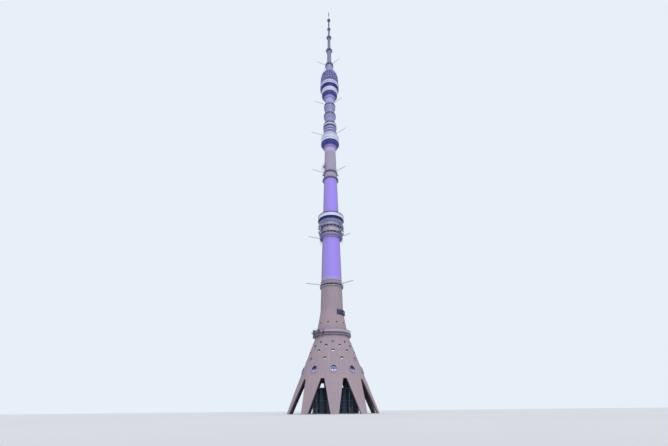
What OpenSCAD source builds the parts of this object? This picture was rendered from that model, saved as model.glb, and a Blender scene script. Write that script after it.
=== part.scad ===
// Concrete television tower with a steel antenna mast, as a scale model at 1:20.
// All sizes are in millimetres of the model: 50 mm here is one metre on the real tower.
// +Z is up, the ground is at Z 0, and the tower's axis is the Z axis. One leg faces -Y.

/* [Cone base] */
// Outer radius of the ring of legs at the ground
foot_r = 1450; // [1350:10:1550]
// Outer radius of the cone at its top
cone_top_r = 580; // [572:2:600]
// Height of the cone's top, where the lowest gallery lies
cone_top_z = 2265; // [2240:5:2300]
// Height at which the legs join into a closed cone
leg_top_z = 910; // [850:5:940]
// Width of one leg at the ground
leg_foot_w = 225; // [180:5:300]
// Gap between two neighbouring legs at their heads
leg_head_gap = 115; // [80:5:160]
// Thickness of a leg, measured level
leg_t = 55; // [40:1:70]
// Thickness of the cone's wall, measured level
cone_wall_t = 30; // [20:1:40]

/* [Portholes] */
// Height of the ring of large round windows
large_port_z = 1180; // [1140:5:1230]
// Radius of the hole for a large round window
large_port_r = 112; // [90:1:125]
// How far the sleeve of a large window stands out of the wall
sleeve_out = 14; // [8:1:30]
// Thickness of the sleeve's steel
sleeve_t = 7; // [4:1:10]
// Radius of a small round window in the cone
small_port_r = 50; // [42:1:56]
// Height of the small windows' row in the steep cone
upper_row_z = 2700; // [2600:5:2800]
// Thickness of the window glass
port_glass_t = 4; // [3:0.5:8]

/* [Lobby] */
// Radius of the glazed lobby between the legs
lobby_r = 625; // [500:5:700]
// Height of the lobby's glazing
lobby_h = 650; // [450:5:680]
// Thickness of the lobby's floor slab
lobby_floor_t = 16; // [10:1:24]
// How far the floor slab reaches past the glazing
lobby_floor_lip = 45; // [20:5:80]
// Thickness of the lobby's roof slab
lobby_roof_t = 18; // [12:1:30]
// Outer radius of the concrete core that stands in the lobby
core_r = 275; // [200:5:320]
// Thickness of the core's wall
core_t = 18; // [12:1:25]
// Clear width of a doorway in the lobby's glazing
door_w = 150; // [90:5:200]
// Clear height of a doorway
door_h = 130; // [110:5:180]

/* [Shaft] */
// Outer radius of the shaft where it leaves the steep cone
shaft_foot_r = 418; // [405:1:430]
// Height of the shaft's foot
shaft_foot_z = 3150; // [3120:5:3300]
// Outer radius of the shaft at the bottom of the main pod
shaft_waist_r = 200; // [185:1:210]
// Height of the shaft's waist, where its taper almost ends
shaft_waist_z = 16070; // [16050:5:16090]
// Outer radius of the shaft at its top
shaft_top_r = 188; // [170:1:199]
// Height of the shaft's top
shaft_top_z = 19240; // [19200:5:19300]
// Thickness of the shaft's wall
shaft_t = 20; // [14:1:26]
// Outer radius of the steep cone where it stands on the lowest gallery
steep_cone_r = 560; // [545:1:566]
// Thickness of the steep cone's wall
steep_cone_t = 25; // [18:1:32]

/* [Lowest gallery] */
// Outer radius of the gallery on top of the cone
cone_gallery_r = 664; // [655:1:700]
// Thickness of its slab
cone_gallery_t = 30; // [24:1:40]
// Height of its parapet
cone_parapet_h = 125; // [110:1:140]
// Height of the recess at the parapet's foot
parapet_recess_h = 50; // [36:1:60]
// Thickness of its parapet
cone_parapet_t = 9; // [6:1:14]
// Depth of the cornice under the gallery
cornice_h = 12; // [8:1:20]
// How far the cornice stands out of the cone
cornice_out = 8; // [5:1:16]
// Clear height between the cornice and the gallery
cornice_drop = 30; // [20:1:60]

/* [Service galleries] */
// Height of the first service gallery's floor
gallery_a_z = 4130; // [4100:5:4180]
// Height of the second service gallery's floor
gallery_b_z = 9455; // [9430:5:9500]
// Height of the third service gallery's floor
gallery_c_z = 9860; // [9760:5:9920]
// How far the first service gallery reaches out of the shaft
gallery_a_out = 46; // [40:1:70]
// How far the second one reaches out
gallery_b_out = 58; // [40:1:80]
// How far the third one reaches out
gallery_c_out = 30; // [26:1:60]
// Thickness of a service gallery's floor
gallery_t = 16; // [10:1:24]
// Height of the brackets under a service gallery
bracket_h = 40; // [30:1:70]
// Height of a railing
rail_h = 58; // [45:1:70]
// Thickness of a railing's bars
rail_bar = 4; // [3:0.5:6]

/* [Screens] */
// Height of the lower screen's bottom edge
lower_screen_z = 4290; // [4260:5:4400]
// Height of the lower screen's top edge
lower_screen_top = 6145; // [5800:5:6145]
// Half of the lower screen's angle round the shaft
lower_screen_half = 60; // [50:1:75]
// Height of the upper screen's bottom edge
upper_screen_z = 7420; // [7400:5:7600]
// Height of the upper screen's top edge
upper_screen_top = 9320; // [9000:5:9340]
// Half of the upper screen's angle round the shaft
upper_screen_half = 60; // [30:1:60]
// How far the upper screen is turned to the right of the front
upper_screen_turn = 2; // [0:1:20]
// Thickness of a screen
screen_t = 5; // [3:0.5:8]
// Distance of a screen from the shaft
screen_gap = 9; // [6:0.5:14]

/* [Relay gallery] */
// Height of the lowest of the relay gallery's three decks
relay_low_z = 6250; // [6245:5:6265]
// Height of the middle deck
relay_mid_z = 6420; // [6400:5:6460]
// Height of the top deck
relay_top_z = 6715; // [6690:5:6725]
// Outer radius of the decks
relay_r = 478; // [465:1:500]
// Thickness of the decks
relay_t = 12; // [8:1:16]
// Thickness of the relay gallery's posts
relay_post = 8; // [6:0.5:10]
// How far the posts stand over the top deck
dish_post_h = 165; // [120:5:180]
// Radius of a large relay dish
dish_r = 92; // [70:1:100]
// Depth of a relay dish
dish_depth = 44; // [30:1:60]

/* [Viewing deck] */
// Height of the viewing pod's lowest floor
view_floor_z = 6925; // [6910:5:6950]
// Outer radius at the bottom of its glazing
view_low_r = 495; // [485:1:510]
// Height of the glazing's top
view_glass_top = 7095; // [7070:5:7110]
// Outer radius of the viewing deck
view_r = 562; // [550:1:580]
// Height of the white band round the deck
view_band_h = 170; // [130:1:200]
// Thickness of the floors
view_floor_t = 18; // [12:1:24]
// Thickness of the white band
view_band_t = 10; // [6:1:14]
// Height of the parapet above the deck that people stand on
view_parapet_h = 66; // [50:1:80]
// Height of the pale collar round the shaft below the pod
view_collar_h = 115; // [80:5:130]
// Thickness of that collar
view_collar_t = 18; // [12:1:26]

/* [Equipment pod] */
// Height of the soffit's lower end
equip_foot_z = 11530; // [11500:5:11560]
// Radius of the soffit's lower end
equip_foot_r = 300; // [295:1:320]
// Height of the pod's floor
equip_floor_z = 11880; // [11850:5:11900]
// Outer radius of the pod
equip_r = 468; // [445:1:480]
// Height of the pod's wall
equip_wall_h = 405; // [360:5:430]
// Height of the pod's sloping roof
equip_roof_h = 370; // [330:5:400]
// Radius of the drum above the pod
drum_r = 340; // [326:1:344]
// Height of the drum above the pod
drum_h = 430; // [390:5:450]
// Outer radius of the deck on top of the drum
upper_deck_r = 358; // [348:1:375]
// Height of the deck's parapet
upper_parapet_h = 130; // [100:1:150]
// Thickness of the pod's shells
shell_t = 8; // [5:1:12]
// Thickness of the pod's floors
slab_t = 18; // [12:1:24]

/* [Aerial drums] */
// Height of the lower aerial drum's foot
drum_a_z = 13560; // [13545:5:13600]
// Height of the lower aerial drum
drum_a_h = 590; // [500:5:640]
// Largest radius of the lower aerial drum
drum_a_r = 332; // [310:1:345]
// Height of the upper aerial drum's foot
drum_b_z = 14300; // [14290:5:14330]
// Height of the upper aerial drum
drum_b_h = 660; // [600:5:690]
// Largest radius of the upper aerial drum
drum_b_r = 322; // [300:1:330]
// Radius of the drums at their feet
drum_neck_r = 253; // [251:1:262]

/* [Main pod] */
// Height of the foot of the ringed drum that carries the pod
neck_foot_z = 15050; // [15045:5:15100]
// Radius of that drum
neck_drum_r = 262; // [250:1:275]
// Height of the main pod's lowest point
pod_foot_z = 15600; // [15560:5:15640]
// Outer radius at the foot of the lower soffit
pod_foot_r = 284; // [275:1:295]
// Height of the lowest floor
pod_floor_z = 15990; // [15960:5:16020]
// Outer radius of the lowest floor
pod_low_r = 450; // [438:1:465]
// Height of the restaurant's floor
restaurant_z = 16360; // [16320:5:16380]
// Outer radius of the restaurant's floor
restaurant_r = 492; // [480:1:505]
// Height of the observation storey's floor
observation_z = 16600; // [16580:5:16640]
// Outer radius of the observation storey's floor
observation_r = 555; // [535:1:575]
// Height of the open deck on the pod's roof
open_deck_z = 16950; // [16930:5:16980]
// Outer radius of the open deck
open_deck_r = 570; // [560:1:590]
// Height of the observation windows' sill above their floor
sill_h = 110; // [90:5:130]
// Height of the observation windows
window_h = 90; // [70:5:100]

/* [Aerial cage] */
// Outer radius of the cage at the open deck
cage_r = 546; // [530:1:555]
// Thickness of the cage's decks
cage_deck_t = 12; // [8:1:16]
// Depth of the cage's ribs
rib_w = 13; // [9:1:18]
// Thickness of the cage's ribs
rib_t = 7; // [4:1:10]

/* [Head] */
// Outer radius of the neck under the head
neck_r = 207; // [203:1:215]
// Height at which the head has widened to its full radius
head_z = 18900; // [18800:5:19000]
// Outer radius of the head
head_r = 236; // [222:1:250]
// Height of the band that hangs from the head's roof
head_rim_h = 150; // [100:5:180]
// Outer radius of that band and of the roof
head_rim_r = 262; // [255:1:280]
// Thickness of the head's roof
head_roof_t = 20; // [14:1:30]

/* [Mast] */
// Length of the mast's lowest section, from the head's roof to the first platform
mast_a_l = 1790; // [1650:10:1900]
// Length of the second section
mast_b_l = 1750; // [1600:10:1850]
// Length of the third section
mast_c_l = 1230; // [1100:10:1350]
// Length of the fourth section
mast_d_l = 1370; // [1250:10:1480]
// Length of the fifth section
mast_e_l = 830; // [750:10:920]
// Length of the top aerial
tip_l = 440; // [380:10:500]
// Length of the rod on top of it
rod_l = 335; // [250:5:400]
// Radius of the mast's lowest section
mast_a_r = 100; // [90:1:110]
// Radius of the mast's second section
mast_b_r = 72; // [62:1:80]
// Radius of the mast's third section
mast_c_r = 43; // [36:1:50]
// Radius of the mast's fourth section
mast_d_r = 30; // [24:1:35]
// Radius of the mast's fifth section
mast_e_r = 11; // [9:1:14]
// Radius of the top aerial
tip_r = 17; // [15:1:20]
// Radius of the rod on top of it
rod_r = 5; // [4:0.5:7]
// Outer radius of the first mast platform
platform_a_r = 208; // [190:1:230]
// Outer radius of the second one
platform_b_r = 165; // [150:1:180]
// Outer radius of the third one
platform_c_r = 118; // [105:1:130]
// Outer radius of the fourth one
platform_d_r = 118; // [105:1:130]

/* [Instrument booms] */
// Length of an instrument boom out of the shaft
boom_l = 620; // [450:10:680]
// Radius of a boom
boom_r = 6; // [5:0.5:8]

/* [Hidden] */
$fn = 120;

// Clearance at which a ring is seated round what it fits on
seat = 0.3;
// Direction of the front, which faces the viewer
front = -90;
leg_count = 10;
bay = 360 / leg_count;
wall_nodes = 5;
wall_angle = 360 / wall_nodes;
// A wall joint lies clear of both the windows on a leg's axis and those between legs
wall_joint = bay / 4;
cone_fall = (foot_r - cone_top_r) / cone_top_z;
cone_slope = atan(cone_fall);
steep_fall = (steep_cone_r - shaft_foot_r) / (shaft_foot_z - cone_gallery_top());
steep_slope = atan(steep_fall);
// Rows of small windows: height, angle from a leg's axis and share of the full radius
small_rows = [[1490, bay / 2, 1], [1730, 0, 1], [1890, bay / 2, 0.95], [2020, 0, 0.6]];
// The same share for the windows in the steep cone
upper_row_share = 0.5;
// Depth of the small windows' glass behind the outer face
glass_depth = 20;
lobby_posts = 30;
lobby_post_w = 8;
lobby_glass_t = 5;
door_angles = [0, 180];
gallery_posts = 36;
gallery_brackets = 20;
relay_posts = 20;
rib_count = 20;
coping_t = 6;
coping_lip = 5;
// Heights and radii of the cage's decks, from the lowest to the top one
cage_decks = [[17230, 546], [17500, 541], [17770, 526], [18030, 474], [18200, 360]];
// Directions of the three booms at a level, each midway between two railing posts
boom_turns = [-40, 90, 200];
// Height of a boom over a gallery's floor, and over the foot of the equipment pod's roof
boom_rise = 10;
roof_boom_rise = 160;
// Height of each level of booms, and the radius of what it is fixed to there
function boom_levels() = [
    for (z = [gallery_a_z + boom_rise, relay_low_z - 85, gallery_c_z + boom_rise])
        [z, shaft_r(z - boom_r)],
    [equip_roof_z() + roof_boom_rise, equip_roof_r(equip_roof_z() + roof_boom_rise - boom_r)],
    [neck_foot_z + 50, neck_drum_r],
    [shaft_top_z - 45, head_rim_r]
];

function lerp(a, b, t) = a + (b - a) * t;
// Outer radius of the cone at a height
function cone_r(z) = foot_r - cone_fall * z;
function cone_gallery_top() = cone_top_z + cone_gallery_t;
// Outer radius of the steep cone at a height
function steep_r(z) = steep_cone_r - steep_fall * (z - cone_gallery_top());
// Outer radius of the shaft at a height
function shaft_r(z) = z <= shaft_waist_z
    ? lerp(shaft_foot_r, shaft_waist_r, (z - shaft_foot_z) / (shaft_waist_z - shaft_foot_z))
    : lerp(shaft_waist_r, shaft_top_r, (z - shaft_waist_z) / (shaft_top_z - shaft_waist_z));

// A ring whose section is the polygon of (radius, height) points
module turned(points, angle = 360) {
    rotate_extrude(angle = angle) polygon(points);
}

// A shell of wall t, measured level, between two outer radii
module shell(r0, z0, r1, z1, t, angle = 360) {
    turned([[r0 - t, z0], [r0, z0], [r1, z1], [r1 - t, z1]], angle);
}

// A ring seated round the shaft, from z0 up to z1
module collar(z0, z1, r0, r1) {
    turned([[shaft_r(z0) + seat, z0], [r0, z0], [r1, z1], [shaft_r(z1) + seat, z1]]);
}

// A floor ring of thickness t round the shaft with its top at z
module floor_ring(z, t, r) {
    collar(z - t, z, r, r);
}

// Places a child on the cone's outer face, with its Z along the face's outward normal
module on_cone(z, a) {
    rotate([0, 0, a]) translate([cone_r(z), 0, z]) rotate([0, 90 - cone_slope, 0]) children();
}

// The same on the steep cone
module on_steep_cone(z, a) {
    rotate([0, 0, a]) translate([steep_r(z), 0, z]) rotate([0, 90 - steep_slope, 0]) children();
}

// Angle of a leg's axis
function leg_angle(i) = front + bay * i;

// One leg: the cone's shell between two sloping side faces
module leg() {
    head_half = cone_r(leg_top_z) * sin(bay / 2) - leg_head_gap / 2;
    foot_half = leg_foot_w / 2;
    intersection() {
        rotate([0, 0, -bay / 2])
            shell(foot_r, 0, cone_r(leg_top_z), leg_top_z, leg_t, bay, $fn = 180);
        rotate([90, 0, 90]) linear_extrude(height = foot_r + leg_t)
            polygon([[-foot_half, 0], [foot_half, 0], [head_half, leg_top_z],
                     [-head_half, leg_top_z]]);
    }
}

module legs() {
    color("rosybrown") for (i = [0 : leg_count - 1]) rotate([0, 0, leg_angle(i)]) leg();
}

// One fifth of the cone's wall, with its round windows cut through
module cone_wall(n) {
    start = front + wall_joint + wall_angle * n;
    color("rosybrown") difference() {
        rotate([0, 0, start])
            shell(cone_r(leg_top_z), leg_top_z, cone_top_r, cone_top_z, cone_wall_t, wall_angle);
        for (i = [0 : leg_count / wall_nodes - 1]) {
            axis = front + wall_angle * n + bay * (i + 1);
            on_cone(large_port_z, axis)
                cylinder(r = large_port_r, h = 4 * cone_wall_t, center = true);
            for (row = small_rows) on_cone(row[0], axis - row[1])
                cylinder(r = small_port_r * row[2], h = 4 * cone_wall_t, center = true);
        }
    }
}

// Sleeves that line the large windows and stand out of the wall
module porthole_sleeves() {
    sleeve_r = large_port_r - seat;
    sleeve_in = cone_wall_t * cos(cone_slope);
    color("lightslategray") for (i = [0 : leg_count - 1])
        on_cone(large_port_z, leg_angle(i)) translate([0, 0, -sleeve_in]) difference() {
            cylinder(r = sleeve_r, h = sleeve_in + sleeve_out);
            translate([0, 0, -1])
                cylinder(r = sleeve_r - sleeve_t, h = sleeve_in + sleeve_out + 2);
        }
}

// The glass of every round window, set back in its hole
module porthole_glass() {
    pane_r = large_port_r - sleeve_t - 2 * seat;
    color("midnightblue") for (i = [0 : leg_count - 1]) {
        on_cone(large_port_z, leg_angle(i)) translate([0, 0, -glass_depth - port_glass_t / 2])
            cylinder(r = pane_r, h = port_glass_t);
        for (row = small_rows) on_cone(row[0], leg_angle(i) - row[1])
            translate([0, 0, -glass_depth])
                cylinder(r = small_port_r * row[2] - seat, h = port_glass_t);
        on_steep_cone(upper_row_z, leg_angle(i) + bay / 2) translate([0, 0, -glass_depth])
            cylinder(r = small_port_r * upper_row_share - seat, h = port_glass_t);
    }
}

// Floor of the lobby, which the tower's origin lies under
module lobby_floor() {
    color("gray") cylinder(r = lobby_r + lobby_floor_lip, h = lobby_floor_t);
}

// Concrete core from the lobby's floor to the top of the cone
module lobby_core() {
    color("darkgray") shell(core_r, lobby_floor_t, core_r, cone_top_z, core_t);
}

// The notch that a doorway leaves in the lobby's frame and glass
module doorways() {
    for (a = door_angles) rotate([0, 0, a])
        translate([lobby_r - 60, -door_w / 2, lobby_floor_t - 1]) cube([120, door_w, door_h + 1]);
}

// Posts and rings that hold the lobby's glass
module lobby_frame() {
    ring_h = 10;
    ring_r = lobby_r + lobby_post_w;
    levels = [door_h - 2, lobby_h / 2, lobby_h - ring_h - 1];
    color("slategray") difference() {
        union() {
            for (i = [0 : lobby_posts - 1]) rotate([0, 0, (i + 0.5) * 360 / lobby_posts])
                translate([lobby_r + 0.5, -lobby_post_w / 2, lobby_floor_t])
                    cube([lobby_post_w - 1, lobby_post_w, lobby_h]);
            for (z = levels) translate([0, 0, lobby_floor_t])
                shell(ring_r, z, ring_r, z + ring_h, lobby_post_w);
        }
        doorways();
    }
}

// The lobby's glass drum, inside its frame
module lobby_glazing() {
    glass_r = lobby_r - seat;
    color("darkslategray", 0.6) difference() {
        shell(glass_r, lobby_floor_t, glass_r, lobby_floor_t + lobby_h, lobby_glass_t);
        doorways();
    }
}

module lobby_roof() {
    z = lobby_floor_t + lobby_h;
    r = lobby_r + lobby_post_w + 12;
    color("dimgray") shell(r, z, r, z + lobby_roof_t, r - core_r - seat);
}

// The gallery's slab on top of the cone, and the cornice below it
module cone_gallery() {
    slab_in = core_r - core_t;
    cornice_top = cone_top_z - cornice_drop;
    cornice_foot = cornice_top - cornice_h;
    color("rosybrown") {
        shell(cone_gallery_r, cone_top_z, cone_gallery_r, cone_gallery_top(),
            cone_gallery_r - slab_in);
        turned([[cone_r(cornice_foot) + seat, cornice_foot],
                [cone_r(cornice_foot) + cornice_out, cornice_foot],
                [cone_r(cornice_foot) + cornice_out, cornice_top],
                [cone_r(cornice_top) + seat, cornice_top]]);
    }
}

module cone_parapet() {
    z = cone_gallery_top();
    r = cone_gallery_r - 2;
    foot_r = r - cone_parapet_t / 2;
    color("mistyrose") turned([
        [r - cone_parapet_t, z], [foot_r, z], [foot_r, z + parapet_recess_h],
        [r, z + parapet_recess_h], [r, z + cone_parapet_h],
        [r + coping_lip, z + cone_parapet_h], [r + coping_lip, z + cone_parapet_h + coping_t],
        [r - cone_parapet_t - coping_lip, z + cone_parapet_h + coping_t],
        [r - cone_parapet_t - coping_lip, z + cone_parapet_h],
        [r - cone_parapet_t, z + cone_parapet_h]]);
}

// The steep cone between the lowest gallery and the shaft
module steep_cone() {
    z = cone_gallery_top();
    color("rosybrown") difference() {
        shell(steep_cone_r, z, shaft_foot_r, shaft_foot_z, steep_cone_t);
        for (i = [0 : leg_count - 1]) on_steep_cone(upper_row_z, leg_angle(i) + bay / 2)
            cylinder(r = small_port_r * upper_row_share, h = 4 * steep_cone_t, center = true);
    }
}

// One length of the tapering shaft
module shaft(z0, z1) {
    color("rosybrown") shell(shaft_r(z0), z0, shaft_r(z1), z1, shaft_t);
}

// A rack of aerial panels on the steep cone's right-hand side
module panel_rack() {
    panel = [10, 44, 84];
    rows = [2975, 3075];
    rail_gap = 14;
    rail_t = 5;
    columns = 7;
    spread = 62;
    turn = front + 51;
    r0 = steep_r(rows[0]);
    color("darkslateblue") {
        rotate([0, 0, turn - spread / 2]) for (z = rows)
            translate([0, 0, z + panel[2] / 2])
                turned([[r0 + rail_gap, 0], [r0 + rail_gap + rail_t, 0],
                        [r0 + rail_gap + rail_t, rail_t], [r0 + rail_gap, rail_t]], spread);
        for (i = [0 : columns - 1]) rotate([0, 0, turn + spread * ((i + 0.5) / columns - 0.5)]) {
            for (z = rows) translate([r0 + rail_gap + rail_t - 1, -panel[1] / 2, z]) cube(panel);
            for (z = rows) {
                arm_z = z + panel[2] / 2;
                translate([steep_r(arm_z) + seat, -rail_t / 2, arm_z])
                    cube([r0 + rail_gap + rail_t / 2 - steep_r(arm_z) - seat, rail_t, rail_t]);
            }
            translate([r0 + rail_gap, -rail_t / 2, rows[0]])
                cube([rail_t, rail_t, rows[1] - rows[0] + panel[2]]);
        }
    }
}

// A floor ring round the shaft with sloping brackets under it
module service_gallery(z, t, out) {
    r = shaft_r(z) + out;
    z0 = z - t - bracket_h;
    floor_ring(z, t, r);
    collar(z0, z0 + 10, shaft_r(z0) + 14, shaft_r(z0) + 14);
    for (i = [0 : gallery_brackets - 1]) rotate([0, 0, (i + 0.5) * 360 / gallery_brackets])
        translate([0, 2.5, 0]) rotate([90, 0, 0]) linear_extrude(height = 5)
            polygon([[shaft_r(z0) + 4, z0], [shaft_r(z0) + 12, z0], [r - 6, z - t + 1],
                     [shaft_r(z0) + 4, z - t + 1]]);
}

module service_galleries() {
    color("dimgray") {
        service_gallery(gallery_a_z, gallery_t, gallery_a_out);
        service_gallery(gallery_b_z, gallery_t, gallery_b_out);
        service_gallery(gallery_c_z, 2 * gallery_t, gallery_c_out);
    }
}

// A railing with two rails, standing at radius r on a floor at height z
module railing(r, z, h, posts) {
    for (rail = [h / 2, h - rail_bar])
        shell(r, z + rail, r, z + rail + rail_bar, rail_bar);
    for (i = [0 : posts - 1]) rotate([0, 0, (i + 0.5) * 360 / posts])
        translate([r - rail_bar + 0.2, -rail_bar / 2, z]) cube([rail_bar - 0.4, rail_bar, h]);
}

module gallery_railings() {
    color("dimgray") {
        railing(shaft_r(gallery_a_z) + gallery_a_out - 2, gallery_a_z, rail_h, gallery_posts);
        railing(shaft_r(gallery_b_z) + gallery_b_out - 2, gallery_b_z, rail_h, gallery_posts);
        railing(shaft_r(gallery_c_z) + gallery_c_out - 2, gallery_c_z, rail_h, gallery_posts);
        railing(open_deck_r - 2, open_deck_z, 1.5 * rail_h, gallery_posts);
    }
}

// A curved screen of lamps held off the shaft by level hoops
module screen(z0, z1, turn, half) {
    hoops = 8;
    hoop_h = 8;
    hoop_out = screen_gap + 1;
    rotate([0, 0, front + turn - half]) {
        turned([[shaft_r(z0) + screen_gap, z0], [shaft_r(z0) + screen_gap + screen_t, z0],
                [shaft_r(z1) + screen_gap + screen_t, z1], [shaft_r(z1) + screen_gap, z1]],
            2 * half);
        for (i = [0 : hoops - 1]) {
            z = lerp(z0, z1 - hoop_h, i / (hoops - 1));
            turned([[shaft_r(z) + seat, z], [shaft_r(z) + hoop_out, z],
                    [shaft_r(z + hoop_h) + hoop_out, z + hoop_h],
                    [shaft_r(z + hoop_h) + seat, z + hoop_h]], 2 * half);
        }
    }
}

module lamp_screens() {
    color("mediumpurple") {
        screen(lower_screen_z, lower_screen_top, 0, lower_screen_half);
        screen(upper_screen_z, upper_screen_top, upper_screen_turn, upper_screen_half);
    }
}

// Three decks in one frame of posts and rails, for the relay dishes. Some posts run on
// downwards as aerials.
module relay_gallery() {
    foot = relay_low_z - 70;
    head = relay_top_z + dish_post_h;
    hanging = [-9, 0, 1, 9, 10];
    hanging_l = 150;
    levels = [relay_low_z, relay_mid_z, relay_top_z];
    color("slategray") {
        for (z = levels) floor_ring(z, relay_t, relay_r);
        for (z = levels) shell(relay_r + 1, z + rail_h - rail_bar, relay_r + 1, z + rail_h,
            rail_bar);
        shell(relay_r + 1, foot, relay_r + 1, foot + rail_bar, rail_bar);
        for (i = [0 : relay_posts - 1]) rotate([0, 0, (i + 0.5) * 360 / relay_posts])
            translate([relay_r - relay_post + 0.5, -relay_post / 2, foot])
                cube([relay_post, relay_post, head - foot]);
        for (i = hanging) rotate([0, 0, (i - 0.5) * 360 / relay_posts])
            translate([relay_r - relay_post / 2, 0, foot - hanging_l])
                cylinder(r = 0.9 * relay_post, h = hanging_l + 20);
    }
}

// One dish: a shallow drum with a bowl in its face, a coned back and a tube to its carrier
module dish(r, stem) {
    rotate([0, 90, 0]) difference() {
        union() {
            cylinder(r = 5, h = stem + 6);
            translate([0, 0, stem]) cylinder(r1 = r / 3, r2 = r, h = dish_depth / 2);
            translate([0, 0, stem + dish_depth / 2]) cylinder(r = r, h = dish_depth / 2);
        }
        translate([0, 0, stem + dish_depth - 12]) cylinder(r1 = r / 4, r2 = r - 4, h = 12.1);
    }
}

// Dishes on the relay gallery: the post each is on, its height and its size
relay_dish_list = [
    [-10, relay_top_z + 85, 0.95], [-9, relay_top_z + 78, 0.8], [-8, relay_top_z + 60, 0.6],
    [-10, relay_mid_z + 100, 0.6], [-9, relay_mid_z + 170, 0.75], [-7, relay_mid_z + 110, 0.5],
    [9, relay_top_z + 80, 0.8], [8, relay_mid_z + 150, 0.9], [5, relay_top_z + 70, 0.7],
    [0, relay_top_z + 82, 0.95], [-1, relay_top_z + 75, 0.85], [-2, relay_top_z + 55, 0.5],
    [0, relay_mid_z + 110, 0.65], [-1, relay_mid_z + 180, 0.75], [-3, relay_mid_z + 90, 0.5],
    [2, relay_mid_z + 140, 0.8]
];
// Dishes on the shaft at the upper galleries: direction, height and size
shaft_dish_list = [
    [-172, gallery_c_z - 120, 0.5], [-150, gallery_c_z - 130, 0.42], [-12, gallery_c_z - 120, 0.5],
    [-165, gallery_b_z - 135, 0.5], [-20, gallery_b_z - 140, 0.5], [60, gallery_c_z - 120, 0.5],
    [110, gallery_b_z - 140, 0.5], [150, gallery_c_z + 110, 0.45]
];

module relay_dishes() {
    color("lightsteelblue") {
        for (d = relay_dish_list) rotate([0, 0, (d[0] + 0.5) * 360 / relay_posts])
            translate([relay_r + 1, 0, d[1]]) dish(dish_r * d[2], 12);
        for (d = shaft_dish_list) rotate([0, 0, d[0]])
            translate([shaft_r(d[1] - 5) + seat, 0, d[1]]) dish(dish_r * d[2], 30);
    }
}

// A post clamped to the outer face of the lowest gallery's parapet, with a dish or a box
module parapet_aerial(turn, reach_up, reach_down, dish_size) {
    post_r = 6;
    z = cone_gallery_top();
    face = cone_gallery_r - 2 + seat;
    x = face + coping_lip + 9;
    rotate([0, 0, turn]) {
        translate([x, 0, z - reach_down]) cylinder(r = post_r, h = reach_down + reach_up);
        for (arm = [parapet_recess_h + 10, cone_parapet_h - 15]) translate([face, -3, z + arm])
            cube([x - face, 6, 6]);
        if (dish_size > 0) translate([x, 0, z + reach_up - 40]) dish(dish_size, post_r + 4);
        else translate([x - 2, -16, z + reach_up - 60]) cube([20, 32, 60]);
    }
}

// An open frame on the shaft's left-hand side with a dish in it
module framed_dish(z, turn) {
    bar = 7;
    size = [110, 230, 270];
    x = shaft_r(z) + 16;
    rotate([0, 0, turn]) {
        for (sy = [0, size[1] - bar]) {
            for (sx = [0, size[0] - bar]) translate([x + sx, sy - size[1] / 2, z])
                cube([bar, bar, size[2]]);
            for (sz = [0, size[2] - bar]) translate([x, sy - size[1] / 2, z + sz])
                cube([size[0], bar, bar]);
        }
        for (sx = [0, size[0] - bar]) for (sz = [0, size[2] / 2, size[2] - bar])
            translate([x + sx, -size[1] / 2, z + sz]) cube([bar, size[1], bar]);
        for (sz = [0, size[2] - bar]) translate([shaft_r(z + sz) + seat, -bar / 2, z + sz])
            cube([x + 1 - shaft_r(z + sz) - seat, bar, bar]);
        translate([x + 2, 0, z + size[2] / 2 + bar / 2]) dish(dish_r * 0.9, 20);
    }
}

module gallery_aerials() {
    color("dimgray") {
        parapet_aerial(-176, 150, 20, 26);
        parapet_aerial(-166, 135, 110, 0);
        parapet_aerial(-156, 170, 60, 34);
        parapet_aerial(-147, 140, 150, 22);
        parapet_aerial(-138, 160, 130, 0);
        parapet_aerial(-131, 130, 40, 28);
        parapet_aerial(-118, 110, 60, 0);
        parapet_aerial(20, 140, 20, 24);
        parapet_aerial(75, 140, 20, 0);
        parapet_aerial(140, 150, 30, 26);
        framed_dish(gallery_c_z + 185, -150);
    }
}

// Height of the top of the viewing pod's upper floor
function view_deck_z() = view_glass_top + view_floor_t;

// A plain band that stands on a floor's edge, with a thin coping
module parapet(r, z, h, t) {
    turned([[r - t, z], [r, z], [r, z + h], [r + coping_lip, z + h],
            [r + coping_lip, z + h + coping_t], [r - t - coping_lip, z + h + coping_t],
            [r - t - coping_lip, z + h], [r - t, z + h]]);
}

module deck_parapets() {
    collar_r = shaft_r(view_floor_z) + view_collar_t;
    color("white") {
        parapet(view_r, view_deck_z(), view_band_h, view_band_t);
        collar(view_floor_z - view_collar_h, view_floor_z, collar_r, collar_r);
        parapet(upper_deck_r, upper_deck_z(), upper_parapet_h, shell_t);
    }
}

// Heights that the equipment pod stacks up to
function equip_roof_z() = equip_floor_z + slab_t + equip_wall_h;
function drum_z() = equip_roof_z() + equip_roof_h;
function upper_deck_z() = drum_z() + 2 * slab_t + drum_h;
// Outer radius of the equipment pod's roof at a height
function equip_roof_r(z) = lerp(equip_r, drum_r + 4, (z - equip_roof_z()) / equip_roof_h);

// The dark sloping undersides of the equipment pod and the main pod
module pod_soffits() {
    color("darkslateblue") {
        shell(equip_foot_r, equip_foot_z, equip_r - 6, equip_floor_z, shell_t);
        shell(pod_foot_r, pod_foot_z + slab_t, pod_low_r - 6, pod_floor_z, shell_t);
    }
}

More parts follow.
